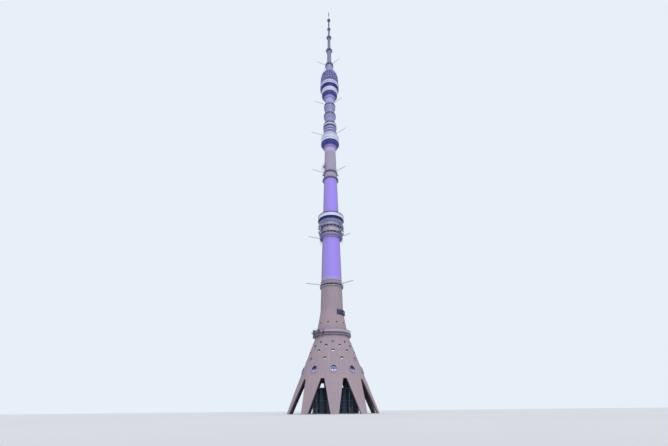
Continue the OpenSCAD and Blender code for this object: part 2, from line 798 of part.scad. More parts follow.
// Every floor of the three pods and the drum, each a ring round the shaft. The rings at the
// feet of the soffits close them.
module pod_floors() {
    open_z = view_deck_z() + view_band_h - view_parapet_h;
    mezzanine_z = (restaurant_z + slab_t + observation_z) / 2;
    mezzanine_r = lerp(restaurant_r, observation_r, 0.5) - shell_t - 12;
    color("slategray") {
        floor_ring(view_floor_z + view_floor_t, view_floor_t, view_low_r);
        floor_ring(view_deck_z(), view_floor_t, view_r);
        floor_ring(open_z, view_floor_t, view_r - view_band_t - seat);
        floor_ring(equip_foot_z, slab_t, equip_foot_r + 2);
        floor_ring(equip_floor_z + slab_t, slab_t, equip_r);
        floor_ring(drum_z() + slab_t, slab_t, drum_r + 6);
        floor_ring(upper_deck_z(), slab_t, upper_deck_r);
        floor_ring(pod_foot_z + slab_t, slab_t, pod_foot_r + 2);
        floor_ring(pod_floor_z + slab_t, slab_t, pod_low_r);
        floor_ring(restaurant_z + slab_t, slab_t, restaurant_r);
        floor_ring(mezzanine_z, slab_t - 4, mezzanine_r);
        floor_ring(observation_z + slab_t, slab_t, observation_r);
        floor_ring(open_deck_z, slab_t, open_deck_r);
    }
}

// The white wall, with the groove between its two rows of panels
module equipment_wall() {
    z = equip_floor_z + slab_t;
    joint = z + 0.28 * equip_wall_h;
    color("white") turned([
        [equip_r - shell_t, z], [equip_r, z], [equip_r, joint], [equip_r - 4, joint],
        [equip_r - 4, joint + 6], [equip_r, joint + 6], [equip_r, z + equip_wall_h],
        [equip_r - shell_t, z + equip_wall_h]]);
}

module equipment_roof() {
    color("white") shell(equip_r, equip_roof_z(), drum_r + 4, drum_z(), shell_t + 8);
}

// A plain drum with hoops round it
module ringed_drum(r, z, h, hoops) {
    hoop_h = 14;
    shell(r, z, r, z + h, shell_t);
    for (i = [1 : hoops]) shell(r + 5, z + i * h / (hoops + 1), r + 5,
        z + i * h / (hoops + 1) + hoop_h, shell_t);
}

// The drum on the equipment pod and the slimmer one under the main pod
module ringed_drums() {
    color("slategray") {
        ringed_drum(drum_r, drum_z() + slab_t, drum_h, 3);
        ringed_drum(neck_drum_r, neck_foot_z, pod_foot_z - neck_foot_z, 2);
    }
}

// A funnel of aerial panels round the shaft, with a flat ring on top
module aerial_drum(z, h, r) {
    ring_t = 14;
    waist_r = lerp(drum_neck_r, r, 0.12);
    outline = [[drum_neck_r, z], [waist_r, z + 0.5 * h], [r, z + 0.84 * h], [r, z + h]];
    inside = [for (i = [len(outline) - 1 : -1 : 0]) [outline[i][0] - 6, outline[i][1]]];
    turned(concat(outline, inside));
    floor_ring(z + 0.5, ring_t, drum_neck_r + 4);
    collar(z + h - 0.5, z + h + 2 * ring_t, r + 5, r + 5);
}

module aerial_drums() {
    color("lightslategray") {
        aerial_drum(drum_a_z, drum_a_h, drum_a_r);
        aerial_drum(drum_b_z, drum_b_h, drum_b_r);
    }
}

// White bands: under the restaurant, under the observation windows and over them
module main_pod_walls() {
    sill_z = observation_z + slab_t + sill_h;
    color("white") {
        shell(pod_low_r - 3, pod_floor_z + slab_t, restaurant_r - 4, restaurant_z, shell_t);
        shell(observation_r - 2, observation_z + slab_t, pod_wall_r(sill_z), sill_z, shell_t);
        shell(pod_wall_r(sill_z + window_h), sill_z + window_h, open_deck_r - 4,
            open_deck_z - slab_t, shell_t);
    }
}

// Outer radius of the observation storey's wall at a height
function pod_wall_r(z) = lerp(observation_r - 2, open_deck_r - 4,
    (z - observation_z - slab_t) / (open_deck_z - observation_z - 2 * slab_t));

// The viewing pod's, the restaurant's and the observation storey's glass
module pod_glazing() {
    window_z = observation_z + slab_t + sill_h;
    color("midnightblue") {
        shell(view_low_r, view_floor_z + view_floor_t, view_r - 12, view_glass_top, shell_t);
        shell(restaurant_r - 4, restaurant_z + slab_t, observation_r - 8, observation_z,
            shell_t);
        shell(pod_wall_r(window_z) - 2, window_z, pod_wall_r(window_z + window_h) - 2,
            window_z + window_h, shell_t - 3);
    }
}

module aerial_decks() {
    color("slategray") for (d = cage_decks)
        floor_ring(d[0], cage_deck_t, d[1] - rib_w - seat);
}

// One rib: a flat bar that follows the cage's outline
module rib() {
    outline = concat([[cage_r, open_deck_z]], [for (d = cage_decks) [d[1], d[0]]]);
    back = [for (i = [len(outline) - 1 : -1 : 0]) [outline[i][0] - rib_w, outline[i][1]]];
    translate([0, rib_t / 2, 0]) rotate([90, 0, 0]) linear_extrude(height = rib_t)
        polygon(concat(outline, back));
}

module aerial_ribs() {
    color("gray") for (i = [0 : rib_count - 1]) rotate([0, 0, i * 360 / rib_count]) rib();
}

// Upright aerial panels on the cage's decks, between the ribs
module aerial_panels() {
    cover = 0.66;
    color("lightslategray") for (tier = [0 : len(cage_decks) - 2]) {
        z = cage_decks[tier][0];
        h = 0.74 * (cage_decks[tier + 1][0] - z);
        r = cage_decks[tier + 1][1] - rib_w - 26;
        w = 2 * r * tan(180 / rib_count) * cover;
        for (i = [0 : rib_count - 1]) rotate([0, 0, (i + 0.5) * 360 / rib_count])
            translate([r, -w / 2, z]) cube([14, w, h]);
    }
}

// The cladding of the neck and of the head that widens above it
module head_cladding() {
    foot = cage_decks[len(cage_decks) - 1][0];
    widening = 340;
    t = 5;
    color("lightsteelblue") turned([
        [neck_r - t, foot], [neck_r, foot], [neck_r, head_z - widening], [head_r, head_z],
        [head_r, shaft_top_z], [head_r - t, shaft_top_z], [head_r - t, head_z],
        [neck_r - t, head_z - widening]]);
}

// The head's roof, with a band that hangs down round it
module head_roof() {
    t = 8;
    top = shaft_top_z + head_roof_t;
    color("dimgray") turned([
        [0, shaft_top_z], [head_rim_r - t, shaft_top_z], [head_rim_r - t, top - head_rim_h],
        [head_rim_r, top - head_rim_h], [head_rim_r, top], [0, top]]);
}

// Heights of the mast's shoulders and of the ends of its top aerial
function mast_a_z() = shaft_top_z + head_roof_t + mast_a_l;
function mast_b_z() = mast_a_z() + mast_b_l;
function mast_c_z() = mast_b_z() + mast_c_l;
function mast_d_z() = mast_c_z() + mast_d_l;
function tip_z() = mast_d_z() + mast_e_l;
function tip_top_z() = tip_z() + tip_l;

// The steel mast: five sections, each thinner than the one below, an aerial and a rod
module antenna_mast() {
    z = shaft_top_z + head_roof_t;
    taper = 20;
    color("slategray") turned([
        [0, z], [mast_a_r + 12, z], [mast_a_r + 12, z + 12], [mast_a_r, z + 12],
        [mast_a_r, mast_a_z()], [mast_b_r, mast_a_z()], [mast_b_r, mast_b_z()],
        [mast_c_r, mast_b_z()], [mast_c_r, mast_c_z()], [mast_d_r, mast_c_z()],
        [mast_d_r, mast_d_z()], [mast_e_r, mast_d_z()], [mast_e_r, tip_z() - taper],
        [tip_r, tip_z()], [tip_r, tip_top_z() - taper], [rod_r, tip_top_z()],
        [rod_r, tip_top_z() + rod_l - taper], [rod_r / 2, tip_top_z() + rod_l],
        [0, tip_top_z() + rod_l]]);
}

// A round platform on a shoulder of the mast, with its railing and braces
module mast_platform(z, bore, shoulder, r) {
    posts = 12;
    t = 8;
    turned([[bore + seat, z], [r, z], [r, z + t], [bore + seat, z + t]]);
    railing(r - 1, z + t - 0.5, rail_h, posts);
    for (i = [0 : posts - 1]) rotate([0, 0, i * 360 / posts])
        translate([0, 2, 0]) rotate([90, 0, 0]) linear_extrude(height = 4)
            polygon([[shoulder + 1, z - 50], [shoulder + 6, z - 50], [r - 8, z + 1],
                     [shoulder + 1, z + 1]]);
}

module mast_platforms() {
    color("dimgray") {
        mast_platform(mast_a_z(), mast_b_r, mast_a_r, platform_a_r);
        mast_platform(mast_b_z(), mast_c_r, mast_b_r, platform_b_r);
        mast_platform(mast_c_z(), mast_d_r, mast_c_r, platform_c_r);
        mast_platform(mast_d_z(), mast_e_r, mast_d_r, platform_d_r);
    }
}

// Panels on four sides of one mast section, each on two pins
module mast_panels(z0, z1, r, tiers, size, off) {
    step = (z1 - z0) / tiers;
    for (k = [0 : tiers - 1]) for (a = [45 : 90 : 315]) rotate([0, 0, a])
        translate([r + seat, 0, z0 + (k + 0.5) * step]) {
            translate([off, -size / 2, -0.4 * step]) cube([10, size, 0.8 * step]);
            for (s = [-0.25, 0.25]) translate([0, 0, s * step]) rotate([0, 90, 0])
                cylinder(r = 3, h = off + 2);
        }
}

module mast_aerials() {
    foot = shaft_top_z + head_roof_t;
    color("lightslategray") {
        mast_panels(foot + 40, mast_a_z() - 60, mast_a_r, 8, 130, 18);
        mast_panels(mast_a_z() + 80, mast_b_z() - 60, mast_b_r, 9, 92, 12);
        mast_panels(mast_b_z() + 80, mast_c_z() - 60, mast_c_r, 6, 52, 10);
        mast_panels(mast_c_z() + 80, mast_d_z() - 60, mast_d_r, 9, 36, 9);
        mast_panels(tip_z() + 20, tip_top_z() - 30, tip_r, 4, 14, 5);
    }
}

// Three level booms at each of six heights, with an instrument at each end
module instrument_booms() {
    color("slategray") for (level = boom_levels()) for (a = boom_turns) rotate([0, 0, a])
        translate([level[1] + seat, 0, level[0]]) {
            rotate([0, 90, 0]) cylinder(r = boom_r, h = boom_l);
            translate([boom_l - 6, 0, -4]) cylinder(r = 5, h = 34);
            translate([boom_l * 0.55, 0, -4]) cylinder(r = 4, h = 20);
        }
}

lobby_floor();
lobby_core();
lobby_frame();
lobby_glazing();
lobby_roof();
legs();
cone_wall(0);  // cone_wall_1
cone_wall(1);  // cone_wall_2
cone_wall(2);  // cone_wall_3
cone_wall(3);  // cone_wall_4
cone_wall(4);  // cone_wall_5
porthole_sleeves();
porthole_glass();
cone_gallery();
cone_parapet();
steep_cone();
shaft(shaft_foot_z, view_floor_z);  // lower_shaft
shaft(view_floor_z, equip_floor_z);  // middle_shaft
shaft(equip_floor_z, shaft_waist_z);  // upper_shaft
shaft(shaft_waist_z, shaft_top_z);  // head_shaft
panel_rack();
service_galleries();
gallery_railings();
lamp_screens();
relay_gallery();
relay_dishes();
gallery_aerials();
pod_floors();
pod_glazing();
pod_soffits();
deck_parapets();
equipment_wall();
equipment_roof();
ringed_drums();
aerial_drums();
main_pod_walls();
aerial_decks();
aerial_ribs();
aerial_panels();
head_cladding();
head_roof();
antenna_mast();
mast_platforms();
mast_aerials();
instrument_booms();
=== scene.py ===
# %% [markdown]
# # A concrete television tower, as a scale model
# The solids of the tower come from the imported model: the legs, the cone, the shaft, the
# galleries, the pods and the mast. This notebook gives each of them its finish and adds the
# trim that a maker would fit last: window frames, dish rims, railings, ribs and ladders.

# %% Load the solids
from math import atan, cos, degrees, pi, radians, sin

import bmesh
import bpy
from mathutils import Matrix, Vector


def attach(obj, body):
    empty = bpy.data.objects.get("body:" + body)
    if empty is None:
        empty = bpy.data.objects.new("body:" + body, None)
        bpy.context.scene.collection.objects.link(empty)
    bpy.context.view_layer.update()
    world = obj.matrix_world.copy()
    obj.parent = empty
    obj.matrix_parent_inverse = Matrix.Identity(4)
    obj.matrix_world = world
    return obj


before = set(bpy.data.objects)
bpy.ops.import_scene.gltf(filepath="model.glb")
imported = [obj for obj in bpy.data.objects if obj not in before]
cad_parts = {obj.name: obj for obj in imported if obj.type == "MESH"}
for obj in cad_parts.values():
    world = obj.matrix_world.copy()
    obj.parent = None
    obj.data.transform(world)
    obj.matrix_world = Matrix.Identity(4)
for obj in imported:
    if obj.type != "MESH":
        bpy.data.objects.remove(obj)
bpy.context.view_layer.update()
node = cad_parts

# %% [markdown]
# ## The camera
# The viewer stands 11 m from the axis of this 1:20 model and a little to the left of its
# front, with their eye 8 cm over the ground, and tilts a wide lens up by a third of a right
# angle. The focal length is written in pixels of the picture, because that is how it is
# measured on a photograph, and turned into millimetres for Blender. A small roll and a
# sideways shift of the lens make the tower stand in the picture as it does there.

# %% Camera
picture_w = 668
focal_px = 297.8
distance = 11.055
eye_height = 0.08
left_of_front = radians(2.0)
tilt_up = radians(32.23)
lean = radians(-0.61)
shift_px = 3.1

lens = bpy.data.cameras.new("viewer_lens")
lens.sensor_width = 36.0
lens.lens = lens.sensor_width * focal_px / picture_w
lens.shift_x = shift_px / picture_w
lens.clip_end = 400.0
viewer = bpy.data.objects.new("viewer", lens)
bpy.context.scene.collection.objects.link(viewer)
ahead = Vector((sin(left_of_front), cos(left_of_front), 0.0))
eye = Vector((0.0, 0.0, eye_height)) - distance * ahead
look = cos(tilt_up) * ahead + sin(tilt_up) * Vector((0.0, 0.0, 1.0))
aim = look.to_track_quat("-Z", "Y").to_matrix().to_4x4()
viewer.matrix_world = Matrix.Translation(eye) @ aim @ Matrix.Rotation(lean, 4, "Z")
bpy.context.scene.camera = viewer
bpy.context.scene.view_settings.view_transform = "Standard"
print("lens", round(lens.lens, 2), "mm")

# %% [markdown]
# ## The tower's outline in numbers
# The finishes and the trim have to follow the slopes of the solids, so the outline is written
# down once: the cone from the ground to the lowest gallery, the steep cone above it, the
# shaft, the decks of the relay gallery and the foot of the mast, all in metres of the model.
# Angles count from +X, and the front looks along -Y.

# %% Outline
foot_r, cone_top_r, cone_top_z = 1.45, 0.58, 2.265
steep_r0, steep_z0 = 0.560, 2.295
shaft_r0, shaft_z0, shaft_r1, shaft_z1 = 0.418, 3.15, 0.200, 16.07
deck_levels, mast_foot_z = (6.250, 6.420, 6.715), 19.260
front = radians(-90)
bays, bay = 10, radians(36)


def cone_r(z):
    return foot_r + (cone_top_r - foot_r) * z / cone_top_z


def steep_r(z):
    return steep_r0 + (shaft_r0 - steep_r0) * (z - steep_z0) / (shaft_z0 - steep_z0)


def shaft_r(z):
    return shaft_r0 + (shaft_r1 - shaft_r0) * (z - shaft_z0) / (shaft_z1 - shaft_z0)


def on_slope(radius, height, fall, turn):
    """Places Z along the outward normal of a cone that falls in by fall per metre."""
    return (Matrix.Rotation(turn, 4, "Z") @ Matrix.Translation((radius, 0, height))
            @ Matrix.Rotation(pi / 2 - atan(fall), 4, "Y"))


cone_fall = (foot_r - cone_top_r) / cone_top_z
steep_fall = (steep_r0 - shaft_r0) / (shaft_z0 - steep_z0)
print("slopes", round(degrees(atan(cone_fall)), 2), round(degrees(atan(steep_fall)), 2))

# %% [markdown]
# ## Wiring a finish
# Every finish here is a small circuit of shader nodes. A few helpers keep the circuits short:
# one adds a node and fills or links its sockets by name, one does arithmetic, one mixes two
# colours, and one lays thin coats of colour over a tone. Paint colours are written as on a
# colour card, from 0 to 255, and turned into the linear values that the shader wants.

# %% Helpers for finishes
def card(red, green, blue):
    """A colour-card colour as a linear shader colour."""
    def linear(value):
        share = value / 255
        return share / 12.92 if share <= 0.04045 else ((share + 0.055) / 1.055) ** 2.4
    return (linear(red), linear(green), linear(blue), 1.0)


def feed(tree, socket, value):
    """Links a socket to another one, or sets its value."""
    if isinstance(value, bpy.types.NodeSocket):
        tree.links.new(value, socket)
    else:
        socket.default_value = value


def add_node(tree, kind, **sockets):
    """Adds a shader node; a socket's name is written with _ for each space."""
    made = tree.nodes.new("ShaderNode" + kind)
    for name, value in sockets.items():
        feed(tree, made.inputs[name.replace("_", " ")], value)
    return made


def calc(tree, operation, *values):
    made = tree.nodes.new("ShaderNodeMath")
    made.operation = operation
    for socket, value in zip(made.inputs, values):
        feed(tree, socket, value)
    return made.outputs[0]


def mix_colors(tree, share, first, second):
    made = tree.nodes.new("ShaderNodeMix")
    made.data_type = "RGBA"
    for index, value in ((0, share), (6, first), (7, second)):
        feed(tree, made.inputs[index], value)
    return made.outputs[2]


def wash(tree, tone, *coats):
    """Lays coats of (mask, share, colour) over a tone, one after the other."""
    for mask, share, color in coats:
        tone = mix_colors(tree, calc(tree, "MULTIPLY", mask, share), tone, color)
    return tone


def step_between(tree, value, low, high, at_low=0.0, at_high=1.0):
    """A soft step of a value from low to high."""
    made = add_node(tree, "MapRange", Value=value, From_Min=low, From_Max=high,
                    To_Min=at_low, To_Max=at_high)
    made.interpolation_type = "SMOOTHSTEP"
    return made.outputs["Result"]


print("mid grey of the card, as the shader wants it:", round(card(128, 128, 128)[0], 3))

# %% [markdown]
# ## Floor, air and lamp
# The studio is plain: a pale floor, a pale surround and soft light from in front of the tower.
# The surround has its own colour for rays that the viewer, a mirror or a pane sees. For all
# other rays the world is a dimmer sky, so that the model isn't washed out from every side.

# %% Floor
floor_r, under_feet = 160.0, 0.002
bpy.ops.object.select_all(action="DESELECT")
bpy.ops.mesh.primitive_circle_add(vertices=96, radius=floor_r, fill_type="NGON",
                                  location=(0, 0, -under_feet))
floor = bpy.context.object
floor.name = "studio_floor"
print("floor of radius", floor_r)

# %% World
sky_seen, sky_light = (0.80, 0.87, 0.95, 1.0), (0.93, 0.95, 1.0, 1.0)
sky_strength = 0.72
world = bpy.data.worlds.new("studio_air")
bpy.context.scene.world = world
world.use_nodes = True
air = world.node_tree
air.nodes.clear()
rays = add_node(air, "LightPath").outputs
seen_ray = calc(air, "MAXIMUM", calc(air, "MAXIMUM", rays["Is Camera Ray"],
                                     rays["Is Glossy Ray"]), rays["Is Transmission Ray"])
choose = add_node(air, "MixShader", Fac=seen_ray)
lit = add_node(air, "Background", Color=sky_light, Strength=sky_strength)
seen = add_node(air, "Background", Color=sky_seen)
feed(air, choose.inputs[1], lit.outputs[0])
feed(air, choose.inputs[2], seen.outputs[0])
add_node(air, "OutputWorld", Surface=choose.outputs[0])
print("sky of strength", sky_strength)

# %% Lamp
lamp_height, lamp_side = radians(55), radians(12)
sun = bpy.data.lights.new("window_light", "SUN")
sun.energy = 1.25
sun.angle = radians(35)
sun.color = (1.0, 0.98, 0.96)
window_light = bpy.data.objects.new("window_light", sun)
bpy.context.scene.collection.objects.link(window_light)
window_light.rotation_euler = (lamp_height, 0, lamp_side)
print("one lamp of strength", sun.energy)

# %% [markdown]
# ## Places on a round tower
# Almost every surface of the tower is round, so its joints, boards and streaks are laid out
# by angle and height, not by left and right. The place is worked out from the Object
# coordinates: the angle comes from the arc tangent, and the direction from the axis has
# length one everywhere, which lets a noise run round the tower without a seam.

# %% Angle, height and direction
def tower_place(tree):
    """Where a point of the surface is: its height, radius, turn from 0 to 1 and direction."""
    spot = add_node(tree, "TexCoord").outputs["Object"]
    part = add_node(tree, "SeparateXYZ", Vector=spot)
    x, y, z = part.outputs
    radius = calc(tree, "SQRT", calc(tree, "ADD", calc(tree, "MULTIPLY", x, x),
                                     calc(tree, "MULTIPLY", y, y)))
    safe = calc(tree, "MAXIMUM", radius, 0.001)
    turn = calc(tree, "ADD", calc(tree, "DIVIDE", calc(tree, "ARCTAN2", y, x), 2 * pi), 0.5)
    return {"spot": spot, "height": z, "radius": radius, "turn": turn,
            "east": calc(tree, "DIVIDE", x, safe), "north": calc(tree, "DIVIDE", y, safe)}


def new_group(name, inputs, outputs):
    """A node group with float inputs, given with their first values, and float outputs."""
    group = bpy.data.node_groups.new(name, "ShaderNodeTree")
    for label, value in inputs.items():
        socket = group.interface.new_socket(name=label, in_out="INPUT",
                                            socket_type="NodeSocketFloat")
        socket.default_value = value
    for label in outputs:
        group.interface.new_socket(name=label, in_out="OUTPUT", socket_type="NodeSocketFloat")
    group.nodes.new("NodeGroupInput")
    group.nodes.new("NodeGroupOutput")
    return group, group.nodes["Group Input"].outputs, group.nodes["Group Output"].inputs


def use_group(tree, group, **sockets):
    made = tree.nodes.new("ShaderNodeGroup")
    made.node_tree = group
    for name, value in sockets.items():
        feed(tree, made.inputs[name.replace("_", " ")], value)
    return made.outputs


print("helpers for node groups are ready")

# %% [markdown]
# ## Panel joints
# Cladding comes in sheets, and a cast wall in lifts. Both leave a grid of fine lines, and no
# two fields have quite the same tone. The group counts columns round the tower and rows up
# it, draws a line of a true width in metres where two fields meet, and gives every field a
# number of its own.

# %% Group: panel joints
panel_joints, given, result = new_group(
    "panel_joints",
    {"Columns": 40.0, "Row Height": 0.2, "Row Start": 0.0, "Joint Width": 0.004},
    ["Joint", "Panel"])
g = panel_joints
place = tower_place(g)
across = calc(g, "MULTIPLY", place["turn"], given["Columns"])
up = calc(g, "DIVIDE", calc(g, "SUBTRACT", place["height"], given["Row Start"]),
          given["Row Height"])
field_w = calc(g, "DIVIDE", calc(g, "MULTIPLY", place["radius"], 2 * pi), given["Columns"])


def distance_to_line(tree, count, size):
    """Metres from the nearest line, where count runs from line to line."""
    from_middle = calc(tree, "ABSOLUTE", calc(tree, "SUBTRACT",
                                              calc(tree, "FRACT", count), 0.5))
    return calc(tree, "MULTIPLY", calc(tree, "SUBTRACT", 0.5, from_middle), size)


nearest = calc(g, "MINIMUM", distance_to_line(g, across, field_w),
               distance_to_line(g, up, given["Row Height"]))
half_joint = calc(g, "MULTIPLY", given["Joint Width"], 0.5)
feed(g, result["Joint"], step_between(g, nearest, calc(g, "MULTIPLY", half_joint, 1.3),
                                      calc(g, "MULTIPLY", half_joint, 0.7)))
cell = add_node(g, "CombineXYZ", X=calc(g, "FLOOR", across), Y=calc(g, "FLOOR", up))
field_tone = add_node(g, "TexWhiteNoise", Vector=cell.outputs[0])
feed(g, result["Panel"], field_tone.outputs["Value"])
print("group", g.name, len(g.nodes), "nodes")

# %% [markdown]
# ## Rain streaks and mottling
# Rain draws long pale and dark streaks down a tall wall, and the surface between them is
# cloudy. The streaks are a noise that is squeezed round the tower and stretched up it. The
# mottling is two plain noises, one of patches and one of grain, that feed colour and bump.

# %% Group: rain streaks
rain_streaks, given, result = new_group("rain_streaks", {"Streaks": 20.0, "Run": 0.6},
                                        ["Streak"])
g = rain_streaks
place = tower_place(g)
stretched = add_node(g, "CombineXYZ", X=calc(g, "MULTIPLY", place["east"], given["Streaks"]),
                     Y=calc(g, "MULTIPLY", place["north"], given["Streaks"]),
                     Z=calc(g, "DIVIDE", place["height"], given["Run"]))
streak_noise = add_node(g, "TexNoise", Vector=stretched.outputs[0], Scale=1.0, Detail=4.0,
                        Roughness=0.6)
feed(g, result["Streak"], step_between(g, streak_noise.outputs["Fac"], 0.32, 0.70))
print("group", g.name, len(g.nodes), "nodes")

# %% Group: mottling
mottling, given, result = new_group("mottling", {"Patch Size": 0.3, "Grain Size": 0.01},
                                    ["Patches", "Grain"])
g = mottling
place = tower_place(g)
patch_noise = add_node(g, "TexNoise", Vector=place["spot"], Detail=3.0, Roughness=0.55,
                       Scale=calc(g, "DIVIDE", 1.0, given["Patch Size"]))
grain_noise = add_node(g, "TexNoise", Vector=place["spot"], Detail=2.0, Roughness=0.7,
                       Scale=calc(g, "DIVIDE", 1.0, given["Grain Size"]))
feed(g, result["Patches"], step_between(g, patch_noise.outputs["Fac"], 0.35, 0.65))
feed(g, result["Grain"], grain_noise.outputs["Fac"])
print("group", g.name, len(g.nodes), "nodes")

# %% [markdown]
# ## Boards
# A cast wall keeps the grain of the boards it was poured against. The group counts the boards
# round the tower and gives each a number of its own, which sets its tone and how far it
# stands out.

# %% Group: upright boards
upright_boards, given, result = new_group("upright_boards", {"Count": 120.0}, ["Board"])
g = upright_boards
counted = calc(g, "MULTIPLY", tower_place(g)["turn"], given["Count"])
board = add_node(g, "CombineXYZ", X=calc(g, "FLOOR", counted))
board_tone = add_node(g, "TexWhiteNoise", Vector=board.outputs[0])
feed(g, result["Board"], board_tone.outputs["Value"])
print("group", g.name, len(g.nodes), "nodes")

# %% [markdown]
# ## Starting a finish
# A finish is a Principled shader. What is the same all over, such as the metal share or the
# shine of glass, is set on the shader's own socket. What changes over the surface comes from
# the groups: colour, roughness and a bump height.

# %% A new finish
def new_finish(name, roughness=0.6, metallic=0.0):
    finish = bpy.data.materials.new(name)
    finish.use_nodes = True
    tree = finish.node_tree
    shader = tree.nodes["Principled BSDF"]
    shader.inputs["Roughness"].default_value = roughness
    shader.inputs["Metallic"].default_value = metallic
    return finish, tree, shader


def raise_surface(tree, shader, height, depth):
    """A bump of the given depth in metres."""
    made = add_node(tree, "Bump", Height=height, Strength=1.0, Distance=depth)
    tree.links.new(made.outputs["Normal"], shader.inputs["Normal"])


print("helpers for finishes are ready")

# %% [markdown]
# ## Cast concrete
# The legs, the cone and the shaft are one pour of mauve-grey concrete. Seen close, it has
# cloudy patches, a warmer tone here and there, pale and dark rain streaks, a faint level line
# at each lift of the formwork and the upright grain of the boards. Inside the cone, behind the
# outer skin, painted shade darkens the walls. The same circuit serves the cone and the shaft
# with other counts, so it is a function with values.

# %% Zones
# Painted shade inside the cone: its colour, and how far behind the outer skin it starts.
inner_shade, inner_shade_from = card(34, 26, 40), 0.012


def zone(tree, height, low, high, edge=0.004):
    """One between two heights and nothing outside them, with soft ends."""
    return calc(tree, "MULTIPLY", step_between(tree, height, low - edge, low + edge),
                step_between(tree, height, high + edge, high - edge))


# From this depth behind the skin, painted shade darkens the walls.
print("a wall turns sooty", inner_shade_from, "m inside its skin")

# %% Cast concrete
def cast_concrete(name, main, warm, pale, dark, boards, lift, streaks, zones=(), skin=None):
    """Each zone is (low, high, soft edge, share, colour): painted light, painted shade or a tint.
    Skin is (radius at the ground, loss of radius per metre), and behind it is painted shade."""
    finish, tree, shader = new_finish(name, roughness=0.86)
    cloud = use_group(tree, mottling, Patch_Size=0.30, Grain_Size=0.006)
    rain = use_group(tree, rain_streaks, Streaks=streaks, Run=1.1)
    drip = use_group(tree, rain_streaks, Streaks=streaks * 3.1, Run=0.35)
    lifts = use_group(tree, panel_joints, Columns=boards / 6, Row_Height=lift, Row_Start=0.02,
                      Joint_Width=0.004)
    grain = use_group(tree, upright_boards, Count=boards)
    tone = wash(tree, main, (cloud["Patches"], 0.8, warm), (rain["Streak"], 0.45, pale),
                (drip["Streak"], 0.30, dark), (lifts["Panel"], 0.16, dark),
                (grain["Board"], 0.10, pale), (lifts["Joint"], 0.30, dark),
                (cloud["Grain"], 0.16, dark))
    height = tower_place(tree)["height"]
    tone = wash(tree, tone, *[(zone(tree, height, low, high, edge), share, coat)
                              for low, high, edge, share, coat in zones])
    # Painted shade on the walls behind the skin, inside the cone and its legs.
    if skin:
        outside = calc(tree, "SUBTRACT", skin[0], calc(tree, "MULTIPLY", height, skin[1]))
        depth = calc(tree, "SUBTRACT", outside, tower_place(tree)["radius"])
        dusky = step_between(tree, depth, inner_shade_from, 2 * inner_shade_from, 0.0, 0.85)
        tone = mix_colors(tree, dusky, tone, inner_shade)
    tree.links.new(tone, shader.inputs["Base Color"])
    feed(tree, shader.inputs["Roughness"], step_between(tree, cloud["Grain"], 0.3, 0.7,
                                                        0.80, 0.94))
    relief = calc(tree, "ADD", calc(tree, "MULTIPLY", grain["Board"], 0.25),
                  calc(tree, "SUBTRACT", cloud["Grain"], lifts["Joint"]))
    raise_surface(tree, shader, relief, depth=0.0012)
    return finish


print("the circuit for concrete is ready")

# %% The concretes
mauve = card(165, 149, 158)
warm_mauve = card(170, 152, 154)
pale_mauve = card(182, 170, 180)
dark_mauve = card(130, 114, 130)
# The cone's concrete gets painted shade inside its walls, behind the skin.
cone_concrete = cast_concrete("cone_concrete", mauve, warm_mauve, pale_mauve, dark_mauve,
                              boards=480.0, lift=0.25, streaks=22.0,
                              skin=(foot_r, round(cone_fall, 4)))
# On the shaft, the pale band from 6.20 to 7.00 m is painted light under the viewing pod; the band
# from 1.90 to 3.20 m is a warmer tint.
shaft_concrete = cast_concrete("shaft_concrete", card(156, 143, 152), card(161, 146, 149),
                               card(177, 165, 176), card(121, 107, 126), boards=200.0,
                               lift=0.25, streaks=7.0,
                               zones=[(6.20, 7.00, 0.04, 0.75, card(226, 218, 228)),
                                      (1.90, 3.20, 0.30, 0.60, card(170, 148, 158))])
# The pale lavender band from 11.24 to 11.60 m is painted light on the shaft under the equipment
# pod.
high_concrete = cast_concrete("high_concrete", card(163, 158, 184), card(167, 160, 180),
                              card(182, 176, 196), card(128, 120, 148), boards=160.0,
                              lift=0.25, streaks=6.0,
                              zones=[(11.24, 11.60, 0.12, 0.6, card(192, 180, 230))])
# On the lowest gallery, the dark band from 2.277 to 2.300 m is painted shade under the parapet,
# and the pale band from 2.215 to 2.262 m is painted light on the cornice in the shade of the
# slab.
gallery_concrete = cast_concrete("gallery_concrete", mauve, warm_mauve, pale_mauve,
                                 dark_mauve, boards=240.0, lift=0.5, streaks=30.0,
                                 zones=[(2.277, 2.300, 0.002, 0.8, card(84, 74, 92)),
                                        (2.215, 2.262, 0.002, 0.6, card(196, 182, 192))])
rim_concrete = cast_concrete("rim_concrete", card(96, 84, 106), card(104, 92, 112),
                             card(124, 112, 132), card(70, 60, 82), boards=480.0,
                             lift=0.5, streaks=30.0)
# The service galleries' concrete is painted paler than the shaft's, as painted light against the
# shade under their floors; their edges carry dark and violet bands.
service_edge = [(4.1120, 4.132, 0.001, 0.92, card(40, 34, 52)),
                (9.340, 9.465, 0.002, 0.80, card(112, 98, 170)),
                (9.8288, 9.870, 0.001, 0.90, card(70, 62, 98))]
service_finish = cast_concrete("service_finish", card(188, 176, 192), card(192, 180, 190),
                               card(204, 194, 208), card(156, 144, 168), boards=120.0,
                               lift=0.5, streaks=12.0, zones=service_edge)
print("concrete finishes:", sum("concrete" in m.name for m in bpy.data.materials))

# %% [markdown]
# ## Painted sheet
# The pods, the drums and the cage are clad in painted sheet metal. Seen from below they are
# white bands, dark blue undersides and grey-violet aerial covers. Joints between the sheets
# are dark, each sheet has its own tone, and dust lies in soft streaks. One function makes
# them all, with its paint, its joints and its sheet size as values.

